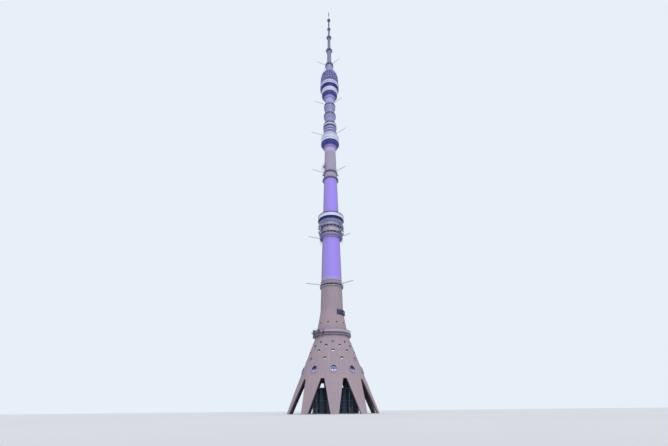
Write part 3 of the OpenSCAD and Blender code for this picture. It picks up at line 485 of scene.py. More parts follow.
# %% Sheet metal
def painted_sheet(name, paint, shade, joint, columns, row, start, joint_w=0.005,
                  roughness=0.42, tone_range=0.35, dust=0.3, fades=(), bands=()):
    """Each fade is (height of none, height of all, share, colour), and each band is
    (low, high, colour)."""
    finish, tree, shader = new_finish(name, roughness)
    sheets = use_group(tree, panel_joints, Columns=columns, Row_Height=row, Row_Start=start,
                       Joint_Width=joint_w)
    rain = use_group(tree, rain_streaks, Streaks=9.0, Run=0.12)
    cloud = use_group(tree, mottling, Patch_Size=0.08, Grain_Size=0.004)
    tone = wash(tree, paint, (sheets["Panel"], tone_range, shade), (rain["Streak"], dust, shade),
                (cloud["Patches"], dust * 0.5, shade))
    relief = calc(tree, "SUBTRACT", calc(tree, "MULTIPLY", cloud["Grain"], 0.12),
                  sheets["Joint"])
    height = tower_place(tree)["height"]
    for start_z, full_z, share, coat in fades:
        low, high = min(start_z, full_z), max(start_z, full_z)
        rising = (0.0, share) if full_z > start_z else (share, 0.0)
        amount = step_between(tree, height, low, high, *rising)
        if full_z < start_z:
            amount = calc(tree, "MULTIPLY", amount,
                          step_between(tree, height, full_z - 0.5, full_z - 0.45))
        tone = mix_colors(tree, amount, tone, coat)
    for low, high, coat in bands:
        tone = mix_colors(tree, zone(tree, height, low, high, 0.003), tone, coat)
    tone = wash(tree, tone, (sheets["Joint"], 0.8, joint))
    tree.links.new(tone, shader.inputs["Base Color"])
    feed(tree, shader.inputs["Roughness"], step_between(
        tree, cloud["Patches"], 0.0, 1.0, roughness - 0.06, roughness + 0.10))
    raise_surface(tree, shader, relief, depth=0.0018)
    return finish


print("the circuit for painted sheet is ready")

# %% White and pale sheets
pod_white = painted_sheet("pod_white", card(198, 204, 234), card(174, 178, 216),
                          card(110, 108, 152), columns=60.0, row=0.135, start=16.053,
                          joint_w=0.004)
# On the equipment wall, the bands are a dark line above the belt and painted shade at the top of
# the wall and on the eaves.
band_white = painted_sheet("band_white", card(222, 225, 244), card(194, 195, 224),
                           card(110, 110, 156), columns=72.0, row=0.09, start=7.113,
                           joint_w=0.004, bands=[(12.036, 12.070, card(128, 134, 170)),
                                                 (12.215, 12.235, card(128, 134, 170)),
                                                 (12.285, 12.310, card(110, 114, 156))])
# The roof darkens towards its top, as painted shade on its upper slope.
roof_white = painted_sheet("roof_white", card(206, 204, 230), card(184, 180, 214),
                           card(122, 118, 162), columns=40.0, row=0.2, start=12.303,
                           fades=[(12.33, 12.56, 0.9, card(122, 120, 168))])
# The parapet's foot is painted dark: painted shade in the recess under it.
parapet_paint = painted_sheet("parapet_paint", card(182, 172, 190), card(156, 146, 168),
                              card(96, 84, 114), columns=60.0, row=0.2, start=2.345, dust=0.4,
                              fades=[(2.3485, 2.3435, 0.9, card(70, 60, 80))])
print("pale sheets:", pod_white.name, band_white.name, roof_white.name, parapet_paint.name)

# %% Blue and grey sheets
# Its fades are painted light: lavender at the foot of each underside, where it meets the shaft,
# and near white under the viewing floor, in the shade of the pod above.
navy = painted_sheet("navy_soffit", card(44, 48, 148), card(36, 40, 122), card(28, 30, 88),
                     columns=48.0, row=0.11, start=11.53, roughness=0.5,
                     fades=[(11.68, 11.56, 0.85, card(170, 160, 224)),
                            (15.80, 15.68, 0.9, card(168, 172, 240)),
                            (7.015, 6.985, 0.92, card(232, 226, 250))])
drum_violet = painted_sheet("drum_violet", card(136, 134, 194), card(114, 112, 172),
                            card(70, 68, 120), columns=48.0, row=0.18, start=12.72,
                            fades=[(14.0, 14.5, 0.9, card(176, 176, 226))])
aerial_grey = painted_sheet("aerial_grey", card(164, 164, 212), card(136, 134, 184),
                            card(84, 82, 130), columns=32.0, row=0.15, start=13.56,
                            tone_range=0.5, bands=[(14.075, 14.20, card(76, 80, 134)),
                                                   (14.885, 15.02, card(76, 80, 134))])
cage_grey = painted_sheet("cage_grey", card(188, 190, 242), card(152, 142, 214),
                          card(92, 78, 146), columns=80.0, row=0.07, start=17.23, tone_range=0.9)
cage_rib = painted_sheet("cage_rib", card(170, 170, 222), card(142, 136, 200), card(92, 78, 146),
                         columns=60.0, row=0.045, start=17.23, tone_range=0.8)
head_blue = painted_sheet("head_blue", card(150, 152, 192), card(124, 124, 168),
                          card(74, 72, 118), columns=24.0, row=0.25, start=18.24)
sill_blue = painted_sheet("sill_blue", card(104, 118, 160), card(90, 104, 148), card(60, 70, 110),
                          columns=60.0, row=0.1, start=6.92)
print("finishes so far:", len(bpy.data.materials))

# %% [markdown]
# ## Steel
# Galleries, posts and braces are painted steel that has gone dull, nearly black against the
# sky, and the mast above is a lighter blue grey. Paint chips and dust show as a fine mottling,
# and the flanges of the mast leave a level line at every section.

# %% Steel
def painted_steel(name, paint, worn, roughness=0.5, metallic=0.2, section=0.6, darker=None,
                  bands=()):
    """Darker gives the heights between which the paint turns to a dark grey. Each band is
    (low, high, colour)."""
    finish, tree, shader = new_finish(name, roughness, metallic)
    cloud = use_group(tree, mottling, Patch_Size=0.05, Grain_Size=0.003)
    rain = use_group(tree, rain_streaks, Streaks=6.0, Run=0.2)
    joints = use_group(tree, panel_joints, Columns=1.0, Row_Height=section, Row_Start=mast_foot_z,
                       Joint_Width=0.008)
    tone = wash(tree, paint, (cloud["Patches"], 0.5, worn), (rain["Streak"], 0.4, worn),
                (joints["Panel"], 0.25, worn))
    height = tower_place(tree)["height"]
    if darker:
        dusky = step_between(tree, height, *darker, 0.0, 0.85)
        tone = mix_colors(tree, dusky, tone, card(80, 78, 98))
    for low, high, coat in bands:
        tone = mix_colors(tree, zone(tree, height, low, high, 0.0008), tone, coat)
    tree.links.new(tone, shader.inputs["Base Color"])
    feed(tree, shader.inputs["Roughness"], step_between(
        tree, cloud["Grain"], 0.3, 0.7, roughness - 0.08, roughness + 0.12))
    raise_surface(tree, shader, cloud["Grain"], depth=0.0006)
    return finish


print("the circuit for painted steel is ready")

# %% The steels
gallery_steel = painted_steel("gallery_steel", card(66, 60, 92), card(92, 84, 118))
dark_steel = painted_steel("dark_steel", card(40, 40, 84), card(58, 56, 106))
gallery_black = painted_steel("gallery_black", card(20, 15, 28), card(32, 26, 42), roughness=0.7,
                              metallic=0.0)
violet_steel = painted_steel("violet_steel", card(104, 88, 176), card(122, 106, 192),
                             roughness=0.6, metallic=0.1)
rail_steel = painted_steel("rail_steel", card(176, 166, 184), card(156, 146, 168), roughness=0.6,
                           metallic=0.1)
lobby_steel = painted_steel("lobby_steel", card(54, 80, 108), card(74, 98, 124), roughness=0.6,
                            metallic=0.1)
bar_steel = painted_steel("bar_steel", card(74, 76, 120), card(92, 92, 138))
porthole_steel = painted_steel("porthole_steel", card(156, 154, 194), card(174, 172, 204))
relay_grey = painted_steel("relay_grey", card(138, 130, 160), card(164, 156, 184))
relay_steel = painted_steel("relay_steel", card(170, 168, 208), card(188, 184, 216),
                            bands=[(z - 0.022, z + 0.006, card(58, 56, 92))
                                   for z in deck_levels]
                            + [(6.2285, 6.2430, card(128, 114, 206))])
dish_paint = painted_steel("dish_paint", card(176, 178, 208), card(122, 118, 156), roughness=0.4,
                           metallic=0.0)
fringe_steel = painted_steel("fringe_steel", card(150, 150, 180), card(120, 118, 150),
                             darker=(9.0, 3.0))
platform_grey = painted_steel("platform_grey", card(140, 138, 184), card(110, 108, 154))
lamp_red = painted_steel("lamp_red", card(150, 60, 66), card(120, 48, 58), roughness=0.3,
                         metallic=0.0)
mast_steel = painted_steel("mast_steel", card(164, 172, 196), card(134, 138, 168),
                           darker=(21.0, 26.2))
head_rim = painted_steel("head_rim", card(70, 66, 104), card(92, 88, 128))
aerial_cover = painted_steel("aerial_cover", card(152, 160, 186), card(122, 126, 158),
                             metallic=0.0, section=0.19, darker=(20.9, 26.2))
print("steel finishes:", sum("steel" in m.name for m in bpy.data.materials))

# %% [markdown]
# ## Glass
# The panes look out on open sky, so each mirrors a slightly different patch of it. Window
# glass is therefore a dark smooth sheet whose tone changes from pane to pane. The large round
# windows are darker over their upper half, where they look up into their own hood. The
# lobby's glass lets part of the light through, so the core behind it shows.

# %% Window glass
def window_glass(name, deep, light, columns, row, start, through=0.0, storeys=(), shine=0.5):
    """Each storey is (low, high, colour), since every ring of panes mirrors another sky."""
    finish, tree, shader = new_finish(name, roughness=0.12)
    shader.inputs["IOR"].default_value = 1.45
    shader.inputs["Specular IOR Level"].default_value = shine
    shader.inputs["Transmission Weight"].default_value = through
    panes = use_group(tree, panel_joints, Columns=columns, Row_Height=row, Row_Start=start,
                      Joint_Width=0.004)
    cloud = use_group(tree, mottling, Patch_Size=0.12, Grain_Size=0.01)
    tone = wash(tree, deep, (panes["Panel"], 0.45, light), (cloud["Patches"], 0.25, light))
    height = tower_place(tree)["height"]
    for low, high, color in storeys:
        tone = mix_colors(tree, zone(tree, height, low, high), tone, color)
    tone = mix_colors(tree, panes["Joint"], tone, card(40, 40, 70))
    tree.links.new(tone, shader.inputs["Base Color"])
    feed(tree, shader.inputs["Roughness"], step_between(tree, cloud["Patches"], 0.0, 1.0,
                                                        0.08, 0.20))
    return finish


print("the circuit for window glass is ready")

# %% The panes
pod_glass = window_glass("pod_glass", card(34, 32, 112), card(66, 62, 142), columns=60.0,
                         row=0.111, start=16.379, shine=0.12,
                         storeys=[(16.70, 16.84, card(164, 164, 212)),
                                  (6.985, 7.11, card(24, 50, 98)),
                                  (6.90, 6.980, card(104, 118, 160))])
lobby_glass = window_glass("lobby_glass", card(4, 24, 44), card(14, 50, 72), columns=60.0,
                           row=0.10, start=0.016, through=0.2)
print("panes:", pod_glass.name, lobby_glass.name)

# %% Panes of the round windows
def round_window_glass():
    """Large panes, pale with a painted sky reflection and darker with painted shade under
    their hood; above them five rows of small panes, each darkened by painted shade from its
    reveal.
    """
    finish, tree, shader = new_finish("round_window_glass", roughness=0.22)
    place = tower_place(tree)
    height, sideways = place["height"], calc(tree, "ABSOLUTE", place["east"])
    cloud = use_group(tree, mottling, Patch_Size=0.06, Grain_Size=0.01)
    # Painted shade: the large panes are dark where they look up into their hood, darker still on
    # the side windows. Their pale colour elsewhere is a painted reflection of the sky.
    hood = zone(tree, height, 1.172, 1.30, 0.012)
    hood_shade_tone = mix_colors(tree, step_between(tree, sideways, 0.25, 0.45),
                           card(96, 100, 156), card(40, 34, 58))
    tone = mix_colors(tree, hood, card(196, 204, 236), hood_shade_tone)
    # More painted shade on the windows seen side-on, near the cone's edges.
    tone = mix_colors(tree, step_between(tree, sideways, 0.80, 0.90, 0.0, 0.8), tone,
                      card(58, 54, 88))
    # The small panes: a pale painted sky reflection, then painted shade under each reveal.
    small = step_between(tree, height, 1.36, 1.38)
    tone = mix_colors(tree, small, tone, card(236, 238, 250))
    for row_z, below in ((1.49, 0.0), (1.73, 0.0), (1.89, 0.003), (2.02, 0.06), (2.70, 0.06)):
        reveal_shade = zone(tree, height, row_z - below, row_z + 0.07, 0.005)
        tone = mix_colors(tree, reveal_shade, tone, card(20, 16, 34))
    tone = wash(tree, tone, (cloud["Patches"], 0.25, card(84, 82, 134)))
    tree.links.new(tone, shader.inputs["Base Color"])
    return finish


port_glass = round_window_glass()
print("glass finishes:", sum("glass" in m.name for m in bpy.data.materials))

# %% [markdown]
# ## Lamp screens
# The two curved screens on the shaft are nets of small lamps on square modules. They glow a
# plain violet, a little greyer towards their edges and at the foot, with a fine grid between
# the modules. Part of the colour is their own light, so a small emission is added to the
# paint.

# %% Screens
screen_foot, module = 4.30, 0.035
violet, grey_violet = card(152, 126, 236), card(146, 134, 204)
blue_violet = card(156, 146, 240)


def lamp_net(name):
    """A net of glowing modules, in blocks of five by five."""
    finish, tree, shader = new_finish(name, roughness=0.55)
    place = tower_place(tree)
    modules = use_group(tree, panel_joints, Columns=110.0, Row_Height=module,
                        Row_Start=screen_foot, Joint_Width=0.0022)
    blocks = use_group(tree, panel_joints, Columns=22.0, Row_Height=5 * module,
                       Row_Start=screen_foot, Joint_Width=0.005)
    rain = use_group(tree, rain_streaks, Streaks=5.0, Run=1.5)
    threads = use_group(tree, rain_streaks, Streaks=38.0, Run=0.9)
    tone = wash(tree, violet, (modules["Panel"], 0.22, blue_violet),
                (blocks["Panel"], 0.16, grey_violet), (rain["Streak"], 0.25, grey_violet),
                (threads["Streak"], 0.30, card(134, 118, 206)))
    left_part = step_between(tree, place["east"], -0.1, -0.75, 0.0, 0.7)
    tone = mix_colors(tree, left_part, tone, grey_violet)
    for edge, middle in ((-0.866, -0.80), (0.866, 0.82)):
        strip = step_between(tree, place["east"], middle, edge, 0.0, 0.85)
        tone = mix_colors(tree, strip, tone, card(148, 134, 160))
    foot = step_between(tree, place["height"], screen_foot + 0.20, screen_foot, 0.0, 0.8)
    tone = mix_colors(tree, foot, tone, card(160, 146, 190))
    tone = wash(tree, tone, (modules["Joint"], 0.30, card(90, 78, 150)),
                (blocks["Joint"], 0.35, card(86, 74, 150)))
    tree.links.new(tone, shader.inputs["Base Color"])
    tree.links.new(tone, shader.inputs["Emission Color"])
    shader.inputs["Emission Strength"].default_value = 0.12
    raise_surface(tree, shader, calc(tree, "SUBTRACT", 1.0, modules["Joint"]), depth=0.001)
    return finish


screen_net = lamp_net("screen_net")
screen_edge = painted_sheet("screen_edge", card(142, 130, 164), card(120, 108, 148),
                            card(80, 70, 110), columns=22.0, row=10 * module,
                            start=screen_foot)
print("screen modules of", module, "m")

# %% [markdown]
# ## Floors and flat roofs
# The lobby's floor is laid in stone flags, and the flat roofs are dark felt with chippings.
# Both are seen from above only, so their joints run out from the axis and round it.

# %% Floor and roofing
flag_depth = 0.075


def flat_finish(name, main, other, joint, columns, grain_size, roughness):
    """Flags with joints that run out from the axis and round it."""
    finish, tree, shader = new_finish(name, roughness)
    cloud = use_group(tree, mottling, Patch_Size=0.15, Grain_Size=grain_size)
    flags = use_group(tree, panel_joints, Columns=columns, Row_Height=0.5, Row_Start=0.1,
                      Joint_Width=0.003)
    place = tower_place(tree)
    rings = calc(tree, "DIVIDE", place["radius"], flag_depth)
    ring_line = step_between(tree, calc(tree, "FRACT", rings), 0.03, 0.01)
    tone = mix_colors(tree, cloud["Patches"], main, other)
    tone = wash(tree, tone, (cloud["Grain"], 0.3, joint))
    lines = calc(tree, "MAXIMUM", flags["Joint"], ring_line)
    tone = wash(tree, tone, (lines, 0.7, joint))
    tree.links.new(tone, shader.inputs["Base Color"])
    raise_surface(tree, shader, calc(tree, "SUBTRACT", cloud["Grain"], lines), depth=0.0008)
    return finish


stone_flags = flat_finish("stone_flags", card(146, 142, 150), card(128, 124, 134),
                          card(84, 80, 92), columns=96.0, grain_size=0.004, roughness=0.7)
roof_felt = flat_finish("roof_felt", card(86, 82, 98), card(70, 66, 82), card(44, 42, 56),
                        columns=24.0, grain_size=0.003, roughness=0.9)
print("flags are", flag_depth, "m deep")

# %% Every solid gets its finish
finish_of = {
    "lobby_floor": stone_flags, "lobby_core": high_concrete, "lobby_frame": lobby_steel,
    "lobby_glazing": lobby_glass, "lobby_roof": roof_felt, "legs": cone_concrete,
    "porthole_sleeves": porthole_steel, "porthole_glass": port_glass,
    "cone_gallery": gallery_concrete, "cone_parapet": parapet_paint,
    "steep_cone": shaft_concrete, "lower_shaft": shaft_concrete,
    "middle_shaft": high_concrete, "upper_shaft": high_concrete, "head_shaft": high_concrete,
    "panel_rack": dark_steel, "service_galleries": service_finish,
    "gallery_railings": rail_steel, "lamp_screens": screen_net,
    "relay_gallery": relay_steel, "relay_dishes": dish_paint, "gallery_aerials": fringe_steel,
    "pod_floors": navy, "pod_glazing": pod_glass, "pod_soffits": navy,
    "deck_parapets": band_white, "equipment_wall": band_white, "equipment_roof": roof_white,
    "ringed_drums": drum_violet, "aerial_drums": aerial_grey, "main_pod_walls": pod_white,
    "aerial_decks": cage_rib, "aerial_ribs": cage_rib, "aerial_panels": cage_grey,
    "head_cladding": head_blue, "head_roof": head_rim, "antenna_mast": mast_steel,
    "mast_platforms": platform_grey, "mast_aerials": aerial_cover,
    "instrument_booms": gallery_steel,
}
for n in range(1, 6):
    finish_of[f"cone_wall_{n}"] = cone_concrete
for name, finish in finish_of.items():
    node[name].data.materials.clear()
    node[name].data.materials.append(finish)
print(len(finish_of), "solids finished; left over:", sorted(set(node) - set(finish_of)))

# %% Paper on the studio floor
floor_paper, tree, shader = new_finish("floor_paper", roughness=0.95)
paper_grain = use_group(tree, mottling, Patch_Size=3.0, Grain_Size=0.05)
paper_tone = mix_colors(tree, paper_grain["Patches"], card(226, 229, 233), card(223, 226, 230))
tree.links.new(paper_tone, shader.inputs["Base Color"])
floor.data.materials.append(floor_paper)
print("the floor has", floor_paper.name)

# %% [markdown]
# ## Modelling by hand, in code
# Every added piece starts as one of Blender's primitives at its true size and place and is
# then shaped in edit mode. The helpers below do what a maker does with the mouse: choose a
# piece, open its mesh, pick faces by where they point, and hand the finished piece over with
# its place in its mesh, its finish and the body that it rides on.

# %% Choosing and opening a piece
def choose_piece(piece):
    bpy.ops.object.select_all(action="DESELECT")
    piece.select_set(True)
    bpy.context.view_layer.objects.active = piece


def open_mesh(piece, kind="VERT"):
    choose_piece(piece)
    bpy.ops.object.mode_set(mode="EDIT")
    bpy.ops.mesh.select_mode(type=kind)
    bpy.ops.mesh.select_all(action="SELECT")


def close_mesh():
    bpy.ops.object.mode_set(mode="OBJECT")


def pick_faces(piece, wanted):
    """Selects the faces for which wanted(face) holds."""
    mesh = bmesh.from_edit_mesh(piece.data)
    for face in mesh.faces:
        face.select_set(wanted(face))
    bmesh.update_edit_mesh(piece.data)


def settle(piece):
    """Moves a piece's place and turn into its mesh."""
    choose_piece(piece)
    bpy.ops.object.transform_apply(location=True, rotation=True, scale=True)
    return piece


print("helpers for edit mode are ready")

# %% Joining and handing over
sharp_from = radians(35)


def join_pieces(pieces):
    bpy.ops.object.select_all(action="DESELECT")
    for piece in pieces:
        piece.select_set(True)
    bpy.context.view_layer.objects.active = pieces[0]
    bpy.ops.object.join()
    return bpy.context.object


def hand_over(pieces, name, finish, smooth=True):
    """Finishes a piece, or a list of pieces that become one."""
    piece = settle(join_pieces(pieces) if isinstance(pieces, list) else pieces)
    if smooth:
        bpy.ops.object.shade_smooth_by_angle(angle=sharp_from)
    piece.name = piece.data.name = name
    piece.data.materials.clear()
    piece.data.materials.append(finish)
    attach(piece, "root")
    piece.data.calc_loop_triangles()
    print(f"{name}: {len(piece.data.loop_triangles)} triangles")
    return piece


print("faces meet sharply from", round(degrees(sharp_from)), "degrees")

# %% [markdown]
# ## Bars and rods
# A bar is a cube stretched between two points and bevelled, so that its edges catch light. Its
# depth faces away from the tower's axis unless another direction is given. A rod is a
# cylinder with few sides whose two end faces are bevelled. Both serve for braces, rails and
# ribs, where hundreds are needed and each may have only a few dozen faces.

# %% Bars and rods
OUT, UP = (1, 0, 0), (0, 0, 1)


def bar(start, end, width, depth, face=None):
    """A bevelled bar whose depth faces outwards, or along face."""
    start, end = Vector(start), Vector(end)
    run = end - start
    along = run.normalized()
    middle = (start + end) / 2
    out = Vector(face) if face else Vector((middle.x, middle.y, 0))
    out = (out - out.dot(along) * along).normalized()
    turn = Matrix((out.cross(along), out, along)).transposed().to_euler()
    bpy.ops.object.select_all(action="DESELECT")
    bpy.ops.mesh.primitive_cube_add(size=1, location=middle, rotation=turn,
                                    scale=(width, depth, run.length))
    piece = settle(bpy.context.object)
    open_mesh(piece, "EDGE")
    bpy.ops.mesh.bevel(offset=min(width, depth) * 0.2, segments=1, affect="EDGES")
    close_mesh()
    return piece


def rod(start, end, radius, sides=6):
    """A thin round bar with eased ends."""
    start, end = Vector(start), Vector(end)
    run = end - start
    bpy.ops.object.select_all(action="DESELECT")
    bpy.ops.mesh.primitive_cylinder_add(
        vertices=sides, radius=radius, depth=run.length, location=(start + end) / 2,
        rotation=run.to_track_quat("Z", "Y").to_euler())
    piece = settle(bpy.context.object)
    open_mesh(piece, "FACE")
    along = run.normalized()
    pick_faces(piece, lambda face: abs(face.normal.dot(along)) > 0.9)
    bpy.ops.mesh.bevel(offset=radius * 0.35, segments=1, affect="EDGES")
    close_mesh()
    return piece


print("a bar may face", OUT, "or", UP)

# %% Upright and level ones
def post(radius, low, high, thick):
    """An upright rod over +X."""
    return rod((radius, 0, low), (radius, 0, high), thick)


def upright(radius, low, high, width, depth):
    """An upright bar over +X."""
    return bar((radius, 0, low), (radius, 0, high), width, depth)


def crossbar(radius, half, height, width, depth, face=None):
    """A level bar across +X, half of it on each side."""
    return bar((radius, -half, height), (radius, half, height), width, depth, face)


print("helpers for posts and crossbars are ready")

# %% [markdown]
# ## Rings and ribs
# Rims, rails and hoops are turned work. The section is drawn by merging a small plane to one
# vertex and extruding that vertex from corner to corner, and the outline is then spun round
# the tower's axis. A rib is the same outline filled with a face and extruded sideways.

# %% Drawing a section
def draw_section(corners, closed=True):
    """An outline of (radius, height) corners in the plane Y = 0, left open in edit mode."""
    bpy.ops.object.select_all(action="DESELECT")
    bpy.ops.mesh.primitive_plane_add(size=0.001, location=(corners[0][0], 0, corners[0][1]))
    piece = bpy.context.object
    open_mesh(piece)
    bpy.ops.mesh.merge(type="CENTER")
    route = corners + corners[:1] if closed else corners
    for (r0, z0), (r1, z1) in zip(route, route[1:]):
        bpy.ops.mesh.extrude_region_move(
            TRANSFORM_OT_translate={"value": (r1 - r0, 0, z1 - z0)})
    bpy.ops.mesh.select_all(action="SELECT")
    bpy.ops.mesh.remove_doubles(threshold=1e-5)
    return piece


def turned_ring(corners, steps=96, closed=True):
    """A section spun once round the axis; an open one starts and ends on the axis."""
    piece = draw_section(corners, closed)
    bpy.ops.mesh.spin(steps=steps, angle=2 * pi, center=(0, 0, 0), axis=(0, 0, 1))
    bpy.ops.mesh.select_all(action="SELECT")
    bpy.ops.mesh.remove_doubles(threshold=1e-5)
    bpy.ops.mesh.normals_make_consistent(inside=False)
    close_mesh()
    return settle(piece)


def pipe_ring(ring_r, height, pipe_r, steps=72, sides=6):
    corners = [(ring_r + pipe_r * cos(2 * pi * k / sides),
                height + pipe_r * sin(2 * pi * k / sides)) for k in range(sides)]
    return turned_ring(corners, steps)


print("helpers for turned work are ready")

# %% Arcs and ribs
def arc_strip(corners, start, sweep, steps):
    """Part of a ring, from a start angle over a sweep, with both ends closed."""
    piece = draw_section(corners)
    bpy.ops.mesh.spin(steps=steps, angle=sweep, center=(0, 0, 0), axis=(0, 0, 1))
    bpy.ops.mesh.select_all(action="SELECT")
    bpy.ops.mesh.fill_holes(sides=0)
    bpy.ops.mesh.normals_make_consistent(inside=False)
    close_mesh()
    settle(piece)
    piece.matrix_world = Matrix.Rotation(start, 4, "Z")
    return settle(piece)


def flat_rib(corners, thickness):
    """A flat plate with the outline of the section, standing out from the axis."""
    piece = draw_section(corners)
    bpy.ops.mesh.edge_face_add()
    bpy.ops.mesh.extrude_region_move(TRANSFORM_OT_translate={"value": (0, thickness, 0)})
    bpy.ops.mesh.select_all(action="SELECT")
    bpy.ops.transform.translate(value=(0, -thickness / 2, 0))
    bpy.ops.mesh.normals_make_consistent(inside=False)
    close_mesh()
    return settle(piece)


print("helpers for arcs and ribs are ready")

# %% [markdown]
# ## Repeating a piece
# What goes round the tower is modelled once. An Array modifier turns each copy about the axis
# by the same step, taken from an empty, and is then applied. Pieces that stand in uneven
# places are duplicated, each copy with a mesh of its own. A railing is such a round of posts
# with turned rails between them.

# %% Round arrays and copies
def round_array(piece, count):
    """Count copies of a piece, evenly round the axis."""
    bpy.ops.object.select_all(action="DESELECT")
    bpy.ops.object.empty_add(rotation=(0, 0, 2 * pi / count))
    pivot = bpy.context.object
    choose_piece(piece)
    repeat = piece.modifiers.new("round", "ARRAY")
    repeat.use_relative_offset = False
    repeat.use_object_offset = True
    repeat.offset_object = pivot
    repeat.count = count
    bpy.ops.object.modifier_apply(modifier=repeat.name)
    bpy.data.objects.remove(pivot)
    return piece


def turned_by(piece, angle):
    piece.matrix_world = Matrix.Rotation(angle, 4, "Z") @ piece.matrix_world
    return settle(piece)


def copies_at(piece, places):
    """One copy of a piece at each place, joined; the first one is taken away."""
    made = []
    for place in places:
        choose_piece(piece)
        bpy.ops.object.duplicate(linked=False)
        copy = bpy.context.object
        copy.matrix_world = place
        made.append(settle(copy))
    bpy.data.objects.remove(piece)
    return join_pieces(made)


def railing(radius, low, high, posts, post_r, levels, rail_r, steps=96):
    """Posts round the tower and level rails, as a list of pieces."""
    return [round_array(post(radius, low, high, post_r), posts)] + [
        pipe_ring(radius, z, rail_r, steps) for z in levels]


print("helpers for repeated pieces are ready")

# %% [markdown]
# ## Round windows
# Each large round window stands out of the cone in a steel sleeve. A maker closes the sleeve
# with a thick rounded rim and divides the pane with three bars that meet in a hub, two level
# and one down. The small windows have a plain rim with a lip. One of each is turned and joined,
# then set on the slope and repeated round the cone.

# %% Large round windows
window_z, pane_z = 1.18, -0.011
hub_r, pane_r = 0.010, 0.101
rim = turned_ring([(0.0985, 0.0145), (0.0985, 0.021), (0.103, 0.026), (0.117, 0.026),
                   (0.122, 0.021), (0.122, 0.007), (0.1124, 0.007), (0.1124, 0.0145)], 48)
bead = turned_ring([(0.096, -0.0175), (0.1044, -0.0175), (0.1044, -0.006), (0.099, -0.006)], 48)
hub = turned_ring([(0.0, -0.0175), (0.015, -0.0175), (0.017, -0.013), (0.013, -0.004),
                   (0.0, -0.004)], 16, closed=False)
spokes = [bar((hub_r * cos(a), hub_r * sin(a), pane_z),
              (pane_r * cos(a), pane_r * sin(a), pane_z), 0.013, 0.012, face=UP)
          for a in (0, pi / 2, -pi / 2)]
bars = join_pieces([bead, hub] + spokes)
bars.matrix_world = rim.matrix_world = on_slope(cone_r(window_z), window_z, cone_fall, front)
hand_over(round_array(settle(bars), bays), "round_window_bars", bar_steel)
window = round_array(settle(rim), bays)
hand_over(window, "round_window_frames", porthole_steel)

# %% Small round windows
small_rows = [  # height, shift in bays, radius of the hole
    (1.49, 0.5, 0.0500), (1.73, 0.0, 0.0500), (1.89, 0.5, 0.0475), (2.02, 0.0, 0.0300),
    (2.70, 0.5, 0.0250)]
lip = [(-0.0024, -0.0155), (-0.0024, 0.0020), (-0.0010, 0.0035), (0.0030, 0.0035),
       (0.0042, 0.0020), (0.0042, 0.0006), (-0.0004, 0.0006), (-0.0004, -0.0155)]
small_windows = []
for z, shift, hole_r in small_rows:
    small_rim = turned_ring([(hole_r + out, up) for out, up in lip], 32)
    wall_r, fall = (steep_r(z), steep_fall) if z > steep_z0 else (cone_r(z), cone_fall)
    small_rim.matrix_world = on_slope(wall_r, z, fall, front + shift * bay)
    small_windows.append(round_array(settle(small_rim), bays))
hand_over(small_windows, "small_window_rims", rim_concrete)

# %% [markdown]
# ## The lobby's joinery
# Behind the legs the lobby is a drum of glass. Its solid frame has the main posts, and real
# glazing has slimmer bars between them and more rails across. Each of the two doorways gets
# a frame of two jambs and a head. The doorways stay open.

# %% Lobby joinery
glass_r, door_r = 0.6285, 0.6305
door_half, door_foot, door_head = 0.0715, 0.0165, 0.150
glazing_bar = turned_by(upright(glass_r, 0.160, 0.662, 0.005, 0.007), radians(3))
glazing_bars = round_array(glazing_bar, 60)
cross_rails = [pipe_ring(glass_r - 0.001, z, 0.0028, 120)
               for z in (0.210, 0.275, 0.415, 0.485, 0.560, 0.610)]
jambs = [bar((door_r, side, door_foot), (door_r, side, door_head), 0.007, 0.016)
         for side in (-door_half, door_half)]
lintel = crossbar(door_r, 0.076, 0.1495, 0.008, 0.018)
door_frames = round_array(join_pieces(jambs + [lintel]), 2)
eaves = turned_ring([(0.646, 0.664), (0.652, 0.666), (0.654, 0.680), (0.650, 0.688),
                     (0.640, 0.688), (0.640, 0.6845), (0.6455, 0.684)], 120)
hand_over([glazing_bars, door_frames, eaves] + cross_rails, "lobby_joinery", lobby_steel)

# %% [markdown]
# ## The lowest gallery
# The gallery on top of the cone is carried by small brackets over a cornice. From below, a
# band of painted shade runs along its edge between two pale lines, the parapet above and the
# cornice below, which is painted lighter. A thin rail runs over the parapet, small lamps stand
# out from the edge, and a drip moulding under the cornice keeps rain off the cone.

# %% Brackets, drip and rail
drip_low, drip_high = 2.2170, 2.2225
bracket = flat_rib([(0.5925, 2.2352), (0.6030, 2.2352), (0.6500, 2.2550), (0.6500, 2.2648),
                    (0.5812, 2.2648)], 0.010)
brackets = round_array(bracket, 40)
drip = turned_ring([(cone_r(drip_low), drip_low), (0.6050, drip_low), (0.6062, 2.2195),
                    (0.6050, drip_high), (cone_r(drip_high) + 0.0005, drip_high)], 120)
hand_over([brackets, drip], "gallery_brackets", cone_concrete)
hand_over(railing(0.655, 2.4255, 2.454, 48, 0.002, (2.440, 2.454), 0.0022), "gallery_rail",
          relay_grey)
lamp_z = 2.282
lamp = join_pieces([bar((0.668, 0, lamp_z), (0.682, 0, lamp_z), 0.012, 0.010, face=UP),
                    rod((0.6645, 0, lamp_z), (0.672, 0, lamp_z), 0.003)])
hand_over(round_array(turned_by(lamp, radians(9)), 20), "gallery_lamps", dark_steel)

# %% [markdown]
# ## The rack of aerial panels
# On the right of the steep cone hangs a double row of dark aerial panels. Each carries short
# level bars, and thin ties hold the rack back to the wall. The solid has the panels and their
# arms, and the bars are added on the same angles.

